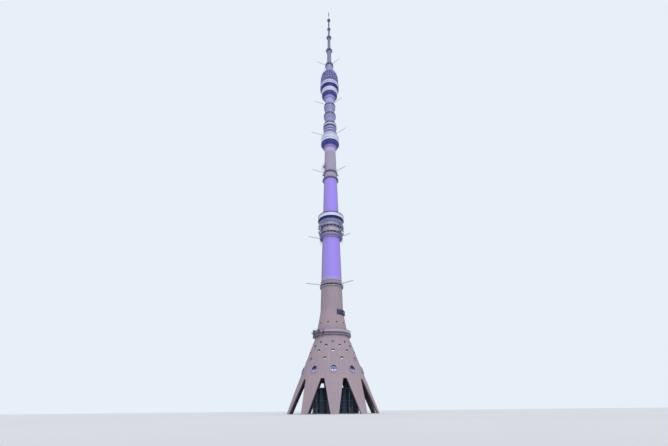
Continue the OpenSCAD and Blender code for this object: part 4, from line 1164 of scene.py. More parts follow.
# %% Panel rack
rack_rows, rack_columns = (2.975, 3.075), 7
rack_middle, rack_sweep = -39, 62
rack_r = steep_r(rack_rows[0]) + 0.018
rack_turns = [radians(rack_middle + rack_sweep * ((i + 0.5) / rack_columns - 0.5))
              for i in range(rack_columns)]
arms = [crossbar(rack_r + 0.015, 0.020, z, 0.003, 0.003) for z in (0.015, 0.042, 0.069)]
rails = [bar((rack_r + 0.0125, y, 0.004), (rack_r + 0.0125, y, 0.080), 0.004, 0.005, face=OUT)
         for y in (-0.017, 0.017)]
places = [Matrix.Rotation(turn, 4, "Z") @ Matrix.Translation((0, 0, z))
          for turn in rack_turns for z in rack_rows]
hand_over(copies_at(join_pieces(arms + rails), places), "rack_dipoles", dark_steel)

# %% [markdown]
# ## Repeating upwards
# Ladders, aerial tiers and battens repeat up the tower instead of round it. The helper below
# stacks a piece with an Array modifier that has a fixed step. Another one wraps a thin band
# round a drum, which serves for every dark rim and pale hoop on the pods.

# %% Stacks and bands
def stacked(piece, count, step):
    """Copies of a piece, each moved on by a step of (x, y, z)."""
    choose_piece(piece)
    repeat = piece.modifiers.new("stack", "ARRAY")
    repeat.use_relative_offset = False
    repeat.use_constant_offset = True
    repeat.constant_offset_displace = step
    repeat.count = count
    bpy.ops.object.modifier_apply(modifier=repeat.name)
    return piece


def band_round(inner_r, low, high, depth, edge=0.0015, steps=96):
    """A band on a drum of inner_r, from low to high, with its outer edges eased."""
    outer_r = inner_r + depth
    return turned_ring([(inner_r, low), (outer_r - edge, low), (outer_r, low + edge),
                        (outer_r, high - edge), (outer_r - edge, high), (inner_r, high)], steps)


def polar(radius, angle, height):
    return Vector((radius * cos(angle), radius * sin(angle), height))


print("helpers for stacks and bands are ready")

# %% [markdown]
# ## Pipes and a ladder on the shaft
# The rear of a tall shaft carries its cable pipes and a ladder. They follow the taper and stop
# at each gallery floor, as the floors are closed rings. Each run is a pair of pipes with
# clamps, and the ladder has two rails with a rung at every step of a climber.

# %% Rear pipes and ladder
rear_runs = [(3.17, 4.07), (4.14, 6.17), (7.31, 9.39), (9.47, 9.78), (9.88, 11.51)]
pipe_turns, clamp_turn, ladder_turn = (68, 74), radians(71), radians(106)
ladder_half, rung_gap, clamp_gap = 0.016, 0.03, 0.27
runs = []
for low, high in rear_runs:
    low_r, high_r = shaft_r(low), shaft_r(high)
    taper = (high_r - low_r) / (high - low)
    for turn in pipe_turns:
        runs.append(turned_by(rod((low_r + 0.014, 0, low), (high_r + 0.014, 0, high), 0.007, 8),
                              radians(turn)))
    for side in (-ladder_half, ladder_half):
        runs.append(turned_by(bar((low_r + 0.022, side, low), (high_r + 0.022, side, high),
                                  0.003, 0.006, face=OUT), ladder_turn))
    rung = rod((low_r + 0.021, -ladder_half, low + 0.015),
               (low_r + 0.021, ladder_half, low + 0.015), 0.0016)
    rungs = stacked(rung, int((high - low) / rung_gap), (taper * rung_gap, 0, rung_gap))
    runs.append(turned_by(rungs, ladder_turn))
    clamp = crossbar(low_r + 0.012, 0.034, low + 0.06, 0.006, 0.022)
    clamps = stacked(clamp, max(2, int((high - low) / 0.3)), (taper * clamp_gap, 0, clamp_gap))
    runs.append(turned_by(clamps, clamp_turn))
hand_over(runs, "rear_pipes", gallery_steel)

# %% [markdown]
# ## Service galleries
# Three narrow galleries ring the shaft. The solids have their floors, brackets and rails. What
# a climber would see besides is a kick plate at the foot of the rail, a fascia in front of the
# floor, aerial posts clamped to the rail, and small boxes that stand out from it.

# %% Kick plates and fascias
service_levels = [  # name, floor, radius, height of the kick plate, fascia, finish
    ("lower", 4.130, 0.4475, 0.004, (4.078, 4.129), gallery_black),
    ("middle", 9.455, 0.3696, 0.010, (9.425, 9.457), violet_steel),
    ("upper", 9.860, 0.3348, 0.020, (9.800, 9.866), dark_steel)]
for label, z, ring_r, kick, (low, high), finish in service_levels:
    plates = [band_round(ring_r - 0.0045, z + 0.0004, z + kick, 0.0035),
              band_round(ring_r - 0.001, low, high, 0.004)]
    hand_over(plates, f"{label}_kick_plates", finish)

# %% Aerial posts on the galleries
posts_each, clamp_up = 14, 0.052
aerials = []
for level, (z, ring_r) in enumerate(row[1:3] for row in service_levels):
    post_r = ring_r + 0.010
    for index in range(posts_each):
        turn = radians(9 + 360 * index / posts_each + 7 * ((index * 5 + level) % 3))
        top = z + 0.07 + 0.022 * ((index * 7 + level * 2) % 4)
        parts = [post(post_r, z - 0.05, top, 0.0032),
                 rod((ring_r - 0.004, 0, z + clamp_up), (post_r, 0, z + clamp_up), 0.0022)]
        if index % 2:
            parts.append(upright(post_r + 0.006, top - 0.035, top, 0.016, 0.012))
        aerials.append(turned_by(join_pieces(parts), turn))
hand_over(aerials, "service_aerials", relay_grey)

# %% Drip under the lowest service gallery
drip_low, drip_high = 4.0600, 4.0740
pale_edge = turned_ring([(0.4370, drip_low), (0.4440, drip_low), (0.4460, drip_low + 0.002),
                         (0.4460, drip_high), (0.4370, drip_high)], 120)
hand_over(pale_edge, "gallery_drip", band_white)

# %% [markdown]
# ## Frames round the lamp screens
# A net of lamps is laced to a light frame. Two bars follow the slope of the shaft at the sides
# and two strips close the frame above and below. Behind the edges, thin stays lead back to
# the concrete.

# %% Screen frames
stays, stay_reach = 12, 0.012
frames = []
for low, high, middle, half in ((4.290, 6.145, 0, 60), (7.420, 9.320, 2, 60)):
    centre, half_sweep = front + radians(middle), radians(half)
    for side in (-1, 1):
        parts = [bar((shaft_r(low) + stay_reach, 0, low - 0.004),
                     (shaft_r(high) + stay_reach, 0, high + 0.004), 0.009, 0.014)]
        for k in range(stays):
            z = low + (high - low) * (k + 0.5) / stays
            parts.append(rod((shaft_r(z) + 0.001, 0, z), (shaft_r(z) + stay_reach, 0, z), 0.003))
        frames.append(turned_by(join_pieces(parts), centre + side * half_sweep))
    for z in (low, high):
        strip_r = shaft_r(z)
        frames.append(arc_strip([(strip_r + 0.0075, z - 0.004), (strip_r + 0.0175, z - 0.004),
                                 (strip_r + 0.0175, z + 0.004), (strip_r + 0.0075, z + 0.004)],
                                centre - half_sweep, 2 * half_sweep, 60))
hand_over(frames, "screen_frames", screen_edge)

# %% [markdown]
# ## The relay gallery
# Three decks for relay dishes hang round the shaft in one steel frame. The solids have decks,
# posts and top rails. Crossed braces stiffen every bay, joists carry the decks, and close
# balusters fill the railings, so that the gallery reads as a dense lattice from below.

# %% Braces, joists and balusters
relay_bays, relay_bay = 20, radians(18)
brace_r, baluster_r = 0.4735, 0.4785
braces = [bar(polar(brace_r, 0, 6.184), polar(brace_r, relay_bay, 6.2375), 0.005, 0.004)]
for low, high in ((6.2515, 6.4075), (6.4215, 6.7025)):
    braces.append(bar(polar(brace_r, 0, low), polar(brace_r, relay_bay, high), 0.005, 0.004))
    braces.append(bar(polar(brace_r, relay_bay, low), polar(brace_r, 0, high), 0.005, 0.004))
cross_braces = round_array(turned_by(join_pieces(braces), relay_bay / 2), relay_bays)
joists = round_array(join_pieces([
    bar((shaft_r(z) + 0.002, 0, z - 0.0175), (brace_r, 0, z - 0.0175), 0.006, 0.010, face=UP)
    for z in deck_levels]), 40)
deck_hoops = [pipe_ring(0.425, z - 0.0165, 0.004, 96) for z in deck_levels]
balusters = round_array(join_pieces([post(baluster_r, z + 0.001, z + 0.055, 0.0016)
                                     for z in deck_levels]), 80)
mid_rails = [pipe_ring(baluster_r, z + 0.028, 0.0020, 100) for z in deck_levels]
hand_over([cross_braces, joists, balusters] + deck_hoops + mid_rails, "relay_lattice",
          relay_steel)

# %% Clutter on the relay gallery
box_r, box_count = 0.492, 40
lowest_deck, middle_deck, top_deck = deck_levels
clutter = []
for index in range(box_count):
    deck = deck_levels[(index * 7) % 3]
    tall = 0.05 + 0.024 * ((index * 5) % 6)
    tall = {lowest_deck: min(tall, 0.13), middle_deck: tall, top_deck: tall * 0.9}[deck]
    wide = 0.014 + 0.006 * (index % 3)
    box = [upright(box_r, deck + 0.01, deck + 0.01 + tall, wide, 0.012),
           rod((0.4765, 0, deck + 0.03), (box_r - 0.002, 0, deck + 0.03), 0.003)]
    clutter.append(turned_by(join_pieces(box), relay_bay * (index * 0.5 + 0.23)))
hand_over(clutter, "relay_boxes", relay_grey)

# %% [markdown]
# ## Dishes
# Each relay dish is a drum with a bowl in its face. A rolled rim and a feed horn on three thin
# legs make it a real aerial. One unit dish is modelled along +Z and copied to every place with
# its size, while the depth stays as it is.

# %% One dish
def feed_unit():
    rim_ring = turned_ring([(0.0885, 0.0415), (0.0935, 0.0415), (0.0945, 0.0440),
                            (0.0925, 0.0470), (0.0885, 0.0460)], 36)
    horn = turned_ring([(0.0, 0.064), (0.010, 0.064), (0.012, 0.068), (0.010, 0.078),
                        (0.0, 0.078)], 12, closed=False)
    legs = [rod(polar(0.088, a, 0.045), polar(0.006, a, 0.071), 0.0026)
            for a in (0.4, 0.4 + 2 * pi / 3, 0.4 + 4 * pi / 3)]
    return join_pieces([rim_ring, horn] + legs)


def dish_place(turn, start_r, height, stem, size):
    """Turns a unit dish outwards and scales it, but not its depth."""
    return (Matrix.Rotation(turn, 4, "Z") @ Matrix.Translation((start_r, 0, height))
            @ Matrix.Rotation(pi / 2, 4, "Y") @ Matrix.Translation((0, 0, stem))
            @ Matrix.Diagonal((size, size, 1, 1)))


print("helpers for dishes are ready")

# %% Rims and feeds
relay_dish_at = [  # bay, height, size
    (-10, 6.800, 0.95), (-9, 6.793, 0.8), (-8, 6.775, 0.6), (-10, 6.520, 0.6),
    (-9, 6.590, 0.75), (-7, 6.530, 0.5), (9, 6.795, 0.8), (8, 6.570, 0.9), (5, 6.785, 0.7),
    (0, 6.797, 0.95), (-1, 6.790, 0.85), (-2, 6.770, 0.5), (0, 6.530, 0.65),
    (-1, 6.600, 0.75), (-3, 6.510, 0.5), (2, 6.560, 0.8)]
shaft_dish_at = [  # angle, height, size
    (-172, 9.740, 0.5), (-150, 9.730, 0.42), (-12, 9.740, 0.5), (-165, 9.320, 0.5),
    (-20, 9.315, 0.5), (60, 9.740, 0.5), (110, 9.315, 0.5), (150, 9.970, 0.45)]
places = [dish_place(relay_bay * (at + 0.5), 0.479, z, 0.012, size)
          for at, z, size in relay_dish_at]
places += [dish_place(radians(turn), shaft_r(z - 0.005) + 0.0003, z, 0.030, size)
           for turn, z, size in shaft_dish_at]
hand_over(copies_at(feed_unit(), places), "dish_feeds", platform_grey)

# %% [markdown]
# ## The viewing pod
# A ring of sloping panes stands on the pod's lowest floor. Slim mullions divide it, a pale
# sill runs along its foot, and joists show under the floor. The white band above ends in a
# dark rim, which draws a fine line against the sky, and a low railing stands behind it.

# %% Mullions and sill
viewing_floor, viewing_panes = 6.9440, 60
mullions = round_array(bar((0.4965, 0, viewing_floor), (0.5512, 0, 7.0945), 0.006, 0.007),
                       viewing_panes)
transom = pipe_ring(0.5330, 7.0450, 0.0030, 120)
hand_over([mullions, transom], "viewing_mullions", navy)
sill = turned_ring([(0.4952, 6.9245), (0.4985, 6.9245), (0.4990, 6.9425), (0.5162, 6.9895),
                    (0.5126, 6.9905), (0.4956, viewing_floor)], 120)
hand_over(sill, "viewing_sill", sill_blue)

# %% Joists and rims
joist_z = 6.9190
joists = round_array(bar((0.3740, 0, joist_z), (0.4900, 0, joist_z), 0.007, 0.011, face=UP), 40)
under_hoops = [pipe_ring(r, joist_z + 0.0015, 0.004, 96) for r in (0.412, 0.455)]
hand_over([joists] + under_hoops, "viewing_joists", relay_steel)
top_rim = turned_ring([(0.5625, 7.2640), (0.5690, 7.2640), (0.5700, 7.2655), (0.5700, 7.2900),
                       (0.5685, 7.2915), (0.5673, 7.2915), (0.5673, 7.2828), (0.5625, 7.2828)],
                      120)
foot_rim = band_round(0.5622, 7.0960, 7.1125, 0.0030, steps=120)
hand_over([top_rim, foot_rim], "viewing_rims", dark_steel)

# %% Rail on the viewing deck
hand_over(railing(0.5560, 7.2890, 7.3260, 60, 0.0022, (7.3080, 7.3260), 0.0022),
          "viewing_rail", dark_steel)

# %% [markdown]
# ## The equipment pod
# Its blue underside is stiffened by ribs and crossed by one pale hoop. The white wall has a
# belt in its groove and a dark rim at its foot, and standing seams run up the sloping roof.
# The drum over the roof is battened and hooped, with pale and dark rings in turn, and the
# deck on top of it has a close railing with whip aerials.

# %% Underside, belt and roof seams
equipment_wall_r = 0.4682
soffit_ribs = round_array(bar((0.3025, 0, 11.5315), (0.4632, 0, 11.8785), 0.005, 0.005), 48)
pale_hoop = pipe_ring(0.4255, 11.7980, 0.0032, 96)
foot_rim = band_round(equipment_wall_r, 11.8700, 11.8960, 0.0040)
belt = band_round(0.4645, 12.0118, 12.0162, 0.0026, edge=0.0008)
eaves = band_round(equipment_wall_r, 12.2920, 12.3040, 0.0030)
seams = round_array(bar((0.4690, 0, 12.3060), (0.3455, 0, 12.6740), 0.005, 0.007), 36)
for pieces, label, finish, slot in (
        (soffit_ribs, "soffit_ribs", navy, "dark_cladding"),
        (pale_hoop, "soffit_hoop", band_white, "white_cladding"),
        ([foot_rim, belt], "rims", dark_steel, "dark_cladding"),
        (eaves, "eaves", band_white, "white_cladding"),
        (seams, "roof_seams", roof_white, "white_cladding")):
    hand_over(pieces, f"equipment_{label}", finish)

# %% Battens and rings of the drum
drum_r = 0.3402
battens = round_array(upright(drum_r + 0.001, 12.6930, 13.1190, 0.006, 0.0045), 48)
hand_over(battens, "drum_battens", drum_violet)
pale_rings = [band_round(drum_r, low, high, 0.0070)
              for low, high in ((12.752, 12.797), (12.960, 12.985))]
dark_rings = [band_round(drum_r, z, z + 0.036, 0.0072) for z in (12.694, 12.826)]
collar_ring = turned_ring([(0.3455, 13.0800), (0.3500, 13.0800), (0.3570, 13.1200),
                           (0.3455, 13.1200)], 96)
deck_foot = band_round(0.3583, 13.1200, 13.1780, 0.0036)
hand_over(pale_rings, "drum_pale_rings", band_white)
hand_over(dark_rings + [collar_ring, deck_foot], "drum_dark_rings", dark_steel)

# %% Railing and whips on the upper deck
deck_r, deck_z = 0.3560, 13.2750
kick_ring = band_round(deck_r, deck_z + 0.0002, 13.3250, 0.0040)
whips = []
for index in range(10):
    turn = radians(36 * index + 11 * (index % 3))
    top = 13.42 + 0.05 * ((index * 3) % 4)
    whips.append(turned_by(post(0.3500, 13.1400, top, 0.0030), turn))
deck_rail = railing(deck_r, deck_z, 13.3620, 48, 0.0030, (13.2950, 13.3180, 13.3410, 13.3620),
                    0.0032)
hand_over([kick_ring] + deck_rail + whips, "upper_deck_railing", dark_steel)

# %% [markdown]
# ## Aerial drums
# The two funnels on the shaft are stacks of aerial panels under weather covers. Upright slats
# follow their outline from the slim foot to the wide head, two hoops hold the slats, and a
# dark cap with a railing closes each drum. A slat is a flat rib drawn in section and repeated
# round. The slim drum above them is plain sheet with battens and pale rings.

# %% Slats, hoops and caps
funnel_foot_r = 0.253
for label, foot_z, tall, wide in (("lower", 13.560, 0.590, 0.332),
                                  ("upper", 14.300, 0.660, 0.322)):
    waist = funnel_foot_r + 0.12 * (wide - funnel_foot_r)
    waist_z, full_z, head_z = foot_z + 0.5 * tall, foot_z + 0.84 * tall, foot_z + tall
    slat = flat_rib([(funnel_foot_r - 0.001, foot_z + 0.002),
                     (funnel_foot_r + 0.005, foot_z + 0.002), (waist + 0.005, waist_z - 0.002),
                     (wide + 0.005, full_z - 0.002), (wide + 0.005, head_z - 0.002),
                     (wide - 0.001, head_z - 0.002), (wide - 0.001, full_z),
                     (waist - 0.001, waist_z)], 0.006)
    slats = round_array(slat, 60)
    hand_over(slats, f"{label}_drum_slats", aerial_grey, smooth=False)
    hoops = [band_round(funnel_foot_r + 0.003, foot_z + 0.001, foot_z + 0.020, 0.006),
             band_round(waist + 0.002, waist_z - 0.012, waist_z + 0.002, 0.008)]
    hand_over(hoops, f"{label}_drum_hoops", relay_grey)
    cap = turned_ring([(wide + 0.0052, head_z - 0.002), (wide + 0.0110, head_z - 0.002),
                       (wide + 0.0110, head_z + 0.026), (wide + 0.0080, head_z + 0.0295),
                       (wide + 0.0052, head_z + 0.0295)], 96)
    rail_z = head_z + 0.068
    roof_rail = railing(wide - 0.004, head_z + 0.028, rail_z, 36, 0.0024, [rail_z], 0.0026)
    hand_over([cap] + roof_rail, f"{label}_drum_cap", dark_steel)

# %% Battens of the slim drum under the main pod
battens = round_array(upright(0.2630, 15.0530, 15.5980, 0.006, 0.0040), 36)
pale_rings = [band_round(0.2622, z, z + 0.016, 0.0060) for z in (15.150, 15.330, 15.510)]
hand_over(battens, "slim_drum_battens", drum_violet)
hand_over(pale_rings, "slim_drum_rings", band_white)

# %% [markdown]
# ## The main pod
# The pod opens upwards in steps: a ribbed blue underside, a white wall, the restaurant's dark
# ring of panes, a white parapet, a narrow row of windows and another white band. Dark rims
# mark the edge of every floor, and the mullions follow the outward slope of the glass. A net
# on posts closes the open deck above.

# %% Ribs and mullions
soffit_ribs = round_array(bar((0.2865, 0, 15.6200), (0.4452, 0, 15.9880), 0.005, 0.005), 48)
hand_over(soffit_ribs, "main_soffit_ribs", navy)
pod_panes = 60
low_mullions = round_array(bar((0.4888, 0, 16.3790), (0.5475, 0, 16.5990), 0.005, 0.006),
                           pod_panes)
low_transom = pipe_ring(0.5188, 16.4900, 0.0028, 120)
high_mullions = round_array(bar((0.5560, 0, 16.7275), (0.5600, 0, 16.8185), 0.005, 0.006),
                            pod_panes)
hand_over([low_mullions, low_transom], "restaurant_mullions", navy)
hand_over(high_mullions, "observation_mullions", pod_white)

# %% Rims and hoop
rims = [band_round(floor_r, low, high, depth, steps=120)
        for floor_r, low, high, depth in ((0.4502, 15.9860, 16.0140, 0.0042),
                                          (0.4922, 16.3640, 16.3800, 0.0036),
                                          (0.5552, 16.5960, 16.6220, 0.0036))]
hand_over(rims, "main_pod_rims", dark_steel)
pale_ring = pipe_ring(0.4110, 15.9060, 0.0030, 96)
hand_over(pale_ring, "main_soffit_hoop", band_white)

# %% Net round the open deck
net_r, net_foot_z, net_lean = 0.5640, 16.951, 0.0603
net_post = rod((net_r, 0, net_foot_z), (0.5520, 0, 17.1500), 0.0034)
net_posts = round_array(turned_by(net_post, radians(4)), 30)
wires = [pipe_ring(net_r - net_lean * (z - net_foot_z), z, 0.0020, 96)
         for z in (17.050, 17.075, 17.100, 17.125, 17.150)]
hand_over([net_posts] + wires, "open_deck_net", cage_grey)

# %% [markdown]
# ## The cage of aerials
# Above the open deck, tiers of aerial panels stand between ribs. Each panel carries a spine
# with three level dipoles. Hoops tie the ribs together at every deck and half-way between, a
# thin diagonal crosses every bay, and from the upper tiers whip aerials stick up past the
# neck.

# %% Hoops
cage_bays, cage_bay = 20, radians(18)
cage_levels = [(17.230, 0.546), (17.500, 0.541), (17.770, 0.526), (18.030, 0.474),
               (18.200, 0.360)]
hoops = []
for (z0, r0), (z1, r1) in zip([(16.960, 0.546)] + cage_levels, cage_levels):
    hoops.append(pipe_ring(r1 + 0.003, z1, 0.0045, 100))
    hoops.append(pipe_ring((r0 + r1) / 2 + 0.003, (z0 + z1) / 2, 0.0032, 100))
    diagonal = bar(polar(r0 - 0.001, 0, z0 + 0.006), polar(r1 - 0.001, cage_bay, z1 - 0.006),
                   0.0035, 0.0035)
    hoops.append(round_array(diagonal, cage_bays))
hand_over(hoops, "cage_hoops", cage_rib)

# %% Dipoles of the cage
dipoles = []
for (z0, r0), (z1, r1) in zip(cage_levels, cage_levels[1:]):
    face_r, tall = r1 - 0.0247, 0.74 * (z1 - z0)
    panel_half = 0.66 * (r1 - 0.039) * 0.158
    spine = upright(face_r + 0.003, z0 + 0.08 * tall, z0 + 0.94 * tall, 0.008, 0.006)
    arms = [crossbar(face_r + 0.008, 0.88 * panel_half, z0 + share * tall, 0.006, 0.005)
            for share in (0.2, 0.5, 0.8)]
    panel = turned_by(join_pieces([spine] + arms), cage_bay / 2)
    dipoles.append(round_array(panel, cage_bays))
hand_over(dipoles, "cage_dipoles", cage_rib)

# %% Whip aerials over the cage
outer_whip_r, inner_whip_r = 0.4560, 0.3440
whips = []
for index in range(cage_bays):
    low_top = 18.30 + 0.045 * ((index * 7) % 5)
    high_top = 18.42 + 0.040 * ((index * 3) % 5)
    parts = [post(outer_whip_r, 18.0300, low_top, 0.0042),
             post(inner_whip_r, 18.2000, high_top, 0.0042)]
    if index % 2:
        parts.append(upright(inner_whip_r, high_top - 0.08, high_top - 0.01, 0.018, 0.014))
    whips.append(turned_by(join_pieces(parts), cage_bay * (index + 0.5)))
deck_ring = pipe_ring(0.3450, 18.2600, 0.0034, 80)
hand_over(whips + [deck_ring], "cage_whips", cage_rib)

# %% [markdown]
# ## The head
# The head is a clad drum under a roof with a deep hanging band. Standing seams divide the
# cladding, the band has a rolled lower rim, and the roof carries a railing and a few small
# aerials for the crew that services the mast.

# %% Seams and hoops
seams = [upright(0.2365, 18.9050, 19.1080, 0.005, 0.004),
         upright(0.2075, 18.2620, 18.5580, 0.005, 0.004)]
head_hoops = [band_round(clad_r, z, z + 0.010, 0.0040)
              for clad_r, z in ((0.2362, 18.915), (0.2362, 19.010), (0.2072, 18.330),
                                (0.2072, 18.450))]
hand_over([round_array(join_pieces(seams), 24)] + head_hoops, "head_seams", head_blue)

# %% Rims and railing
hanging_r, roof_z = 0.2622, 19.2600
rim = turned_ring([(0.2545, 19.1060), (0.2640, 19.1060), (0.2655, 19.1080), (0.2655, 19.1260),
                   (hanging_r, 19.1280), (hanging_r, 19.1100), (0.2545, 19.1095)], 96)
top_rim = band_round(hanging_r, 19.2440, 19.2605, 0.0026)
head_rail = railing(0.2540, roof_z, 19.3180, 24, 0.0028, (19.2900, 19.3180), 0.0028, 72)
head_whips = [turned_by(post(0.2450, roof_z, 19.3300 + 0.03 * (i % 3), 0.0035),
                        radians(30 * i + 12)) for i in range(12)]
hand_over([rim, top_rim] + head_rail + head_whips, "head_railing", dark_steel)

# %% [markdown]
# ## The mast
# The mast is a stack of steel tubes. Pairs of flanges join its lengths, a ladder runs up the
# rear between the aerials, and a cable tray up the side. The aerials on the four sides are
# covered panels, and each gets a spine and two level dipoles in front.

# %% Flanges
mast_lengths = [  # radius of the tube, foot, top
    (0.100, mast_foot_z, 21.050), (0.072, 21.050, 22.800), (0.043, 22.800, 24.030),
    (0.030, 24.030, 25.400), (0.011, 25.400, 26.210)]
lip_near, lip_far = 0.0008, 0.0085
flanges = []
for tube_r, low, high in mast_lengths:
    tubes = max(2, round((high - low) / 0.45))
    for k in range(1, tubes):
        z = low + (high - low) * k / tubes
        flanges += [band_round(tube_r + 0.0002, z + start, z + end, 0.0080, edge=0.001, steps=48)
                    for start, end in ((-lip_far, -lip_near), (lip_near, lip_far))]
hand_over(flanges, "mast_flanges", mast_steel)

# %% Dipoles on the mast's panels
panel_tiers = [  # foot, top, number of tiers, radius of the panel's face, its width
    (19.300, 20.990, 8, 0.1283, 0.130), (21.130, 22.740, 9, 0.0943, 0.092),
    (22.880, 23.970, 6, 0.0633, 0.052), (24.110, 25.340, 9, 0.0493, 0.036),
    (26.250, 26.640, 4, 0.0323, 0.014)]
dipoles = []
for low, high, tiers, face_r, wide in panel_tiers:
    step = (high - low) / tiers
    middle = low + step / 2
    thick = 0.0035 + 0.03 * wide
    spine = upright(face_r + 0.002, middle - 0.34 * step, middle + 0.34 * step, thick, 0.004)
    arms = [crossbar(face_r + 0.006, 0.46 * wide, middle + shift * step, thick, 0.004)
            for shift in (-0.2, 0.2)]
    sides = round_array(turned_by(join_pieces([spine] + arms), radians(45)), 4)
    dipoles.append(stacked(sides, tiers, (0, 0, step)))
hand_over(dipoles, "mast_dipoles", platform_grey)

# %% Ladder and cable tray
stay_gap = 0.3
climb, trays = [], []
for tube_r, low, high in mast_lengths[:4]:
    start, end = low + 0.06, high - 0.07
    out_r = tube_r + 0.014
    half, tray_w = (0.014, 0.018) if tube_r > 0.04 else (0.010, 0.010)
    for side in (-half, half):
        climb.append(bar((out_r, side, start), (out_r, side, end), 0.003, 0.005, face=OUT))
    rung = rod((out_r, -half, start + 0.01), (out_r, half, start + 0.01), 0.0015)
    climb.append(stacked(rung, int((end - start - 0.02) / rung_gap), (0, 0, rung_gap)))
    stay = bar((tube_r + 0.0005, 0, start + 0.05), (out_r, 0, start + 0.05), 0.005, 0.005,
               face=UP)
    climb.append(stacked(stay, int((end - start - 0.06) / stay_gap) + 1, (0, 0, stay_gap)))
    trays.append(upright(tube_r + 0.006, low + 0.05, high - 0.06, tray_w, 0.010))
ladder = turned_by(join_pieces(climb), radians(90))
hand_over([ladder] + trays, "mast_ladder", dark_steel)

# %% [markdown]
# ## Platforms on the mast
# Round platforms stand on the mast's shoulders. Each has a close railing and a few whip
# aerials on its edge. The two lowest also have side arms with boxes, which make them look
# wider than their floors, and red lamps stand on the edges.

# %% Balusters and whips
platform_levels = [(21.050, 0.208), (22.800, 0.165), (24.030, 0.118), (25.400, 0.118)]
details = []
for z, edge_r in platform_levels:
    rail_r, floor_z, whip_r = edge_r - 0.0030, z + 0.008, edge_r + 0.006
    details += railing(rail_r, floor_z, floor_z + 0.054, 36, 0.0020,
                       (floor_z + 0.014, floor_z + 0.042), 0.0022, 60)
    details.append(band_round(edge_r + 0.0002, z, floor_z, 0.0030, edge=0.001, steps=72))
    whip_count = 8 if edge_r > 0.15 else 6
    for k in range(whip_count):
        whip = [post(whip_r, z - 0.02, z + 0.085 + 0.03 * ((k * 3) % 4), 0.0036),
                rod((edge_r - 0.004, 0, z + 0.055), (whip_r, 0, z + 0.055), 0.0022)]
        details.append(turned_by(join_pieces(whip), 2 * pi * (k + 0.3) / whip_count))
print(len(details), "parts of the platforms")

# %% Side arms
for z, reach in ((21.050, 0.270), (22.800, 0.205)):
    for turn in (2, 178, 272):
        arm = [rod((0.160, 0, z - 0.012), (reach, 0, z - 0.012), 0.0042),
               upright(reach, z - 0.05, z + 0.09, 0.014, 0.014)]
        details.append(turned_by(join_pieces(arm), radians(turn)))
hand_over(details, "platform_details", platform_grey)

# %% Lamps and cross bars at the top
lamps = []
for z, at_r in ((25.470, 0.112), (24.100, 0.112), (22.870, 0.159), (21.120, 0.202)):
    for turn in (45, 225):
        glass = turned_ring([(0.0, 0.0), (0.007, 0.0), (0.009, 0.006), (0.007, 0.018),
                             (0.0, 0.021)], 12, closed=False)
        glass.matrix_world = (Matrix.Rotation(radians(turn), 4, "Z")
                              @ Matrix.Translation((at_r, 0, z)))
        lamps.append(settle(glass))
hand_over(lamps, "mast_lamps", lamp_red)
bar_reach = 0.034
cross_bars = [turned_by(bar((-bar_reach, 0, z), (bar_reach, 0, z), 0.006, 0.006, face=UP),
                        radians(turn)) for z in (25.62, 25.80, 25.98, 26.12)
              for turn in (0, 90)]
rod_collars = [band_round(0.0052, z, z + 0.010, 0.0050, edge=0.001, steps=16)
               for z in (26.72, 26.80, 26.88)]
hand_over(cross_bars + rod_collars, "mast_cross_bars", dark_steel)

# %% [markdown]
# ## Lattice of the booms
# The long instrument booms are light trusses. The solid has the main tube. Above it runs a
# thin top chord that comes down to the tip, zigzag struts join the two, and short crossbars
# carry the sensors.

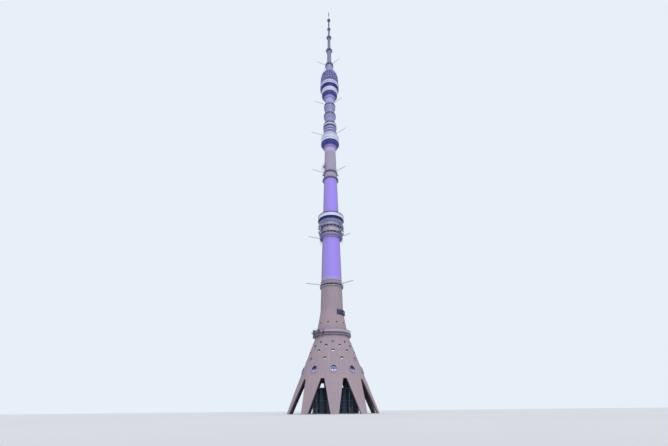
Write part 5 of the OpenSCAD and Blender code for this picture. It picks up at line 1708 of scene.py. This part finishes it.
# %% Boom lattice
boom_l, strut_count = 0.620, 14
chord_z, chord_fall = 0.034, 0.024
truss = [rod((0.004, 0, chord_z), (boom_l - 0.030, 0, chord_z - chord_fall), 0.0030)]
for k in range(strut_count):
    feet = [0.010 + (boom_l - 0.05) * (k + i) / strut_count for i in (0, 1)]
    low_x, high_x = feet if k % 2 else reversed(feet)
    truss.append(rod((low_x, 0, 0.002), (high_x, 0, chord_z - chord_fall * high_x / boom_l),
                     0.0018))
for x, z, half in ((0.18, 0.0, 0.030), (0.34, 0.0, 0.030), (0.50, 0.0, 0.030),
                   (boom_l - 0.006, 0.030, 0.022)):
    truss.append(crossbar(x, half, z, 0.004, 0.004, face=UP))
print("a boom has", len(truss), "bars and rods")

# %% Eighteen booms
slim_drum_r = head_band_r = 0.262
roof_fall = 0.124 * (12.457 - 12.303) / 0.370
boom_feet = [(4.140, shaft_r(4.134)), (6.165, shaft_r(6.159)), (9.870, shaft_r(9.864)),
             (12.463, 0.468 - roof_fall), (15.100, slim_drum_r), (19.195, head_band_r)]
boom_places = [Matrix.Rotation(radians(turn), 4, "Z")
               @ Matrix.Translation((start_r + 0.0003, 0, z))
               for z, start_r in boom_feet for turn in (-40, 90, 200)]
hand_over(copies_at(join_pieces(truss), boom_places), "boom_lattice", relay_grey)

# %% [markdown]
# ## Aerials on the lowest parapet
# Posts with dishes and boxes are clamped to the parapet of the lowest gallery. The solids
# have the posts. Cross arms, small rod aerials and boxes are added to them, so that they
# stand against the cone as a ragged fringe.

# %% Rods and cross arms
parapet_posts = [  # angle, reach above the gallery's floor and below it
    (-176, 0.150, 0.020), (-166, 0.135, 0.110), (-156, 0.170, 0.060), (-147, 0.140, 0.150),
    (-138, 0.160, 0.130), (-131, 0.130, 0.040), (-118, 0.110, 0.060), (20, 0.140, 0.020),
    (75, 0.140, 0.020), (140, 0.150, 0.030)]
post_at, arm_half, gallery_floor = 0.6763, 0.026, 2.295
fringe = []
for turn, above, below in parapet_posts:
    top_z, low_z = gallery_floor + above, gallery_floor - below
    parts = [post(post_at + 0.004, top_z - 0.01, top_z + 0.055, 0.0024),
             crossbar(post_at + 0.008, arm_half, top_z - 0.072, 0.005, 0.005, face=UP)]
    for side in (-arm_half, arm_half):
        parts.append(rod((post_at + 0.008, side, top_z - 0.10),
                         (post_at + 0.008, side, top_z - 0.03), 0.0024))
    if below > 0.05:
        parts.append(upright(post_at + 0.011, low_z + 0.004, low_z + 0.060, 0.022, 0.012))
    fringe.append(turned_by(join_pieces(parts), radians(turn)))
hand_over(fringe, "parapet_fringe", dark_steel)
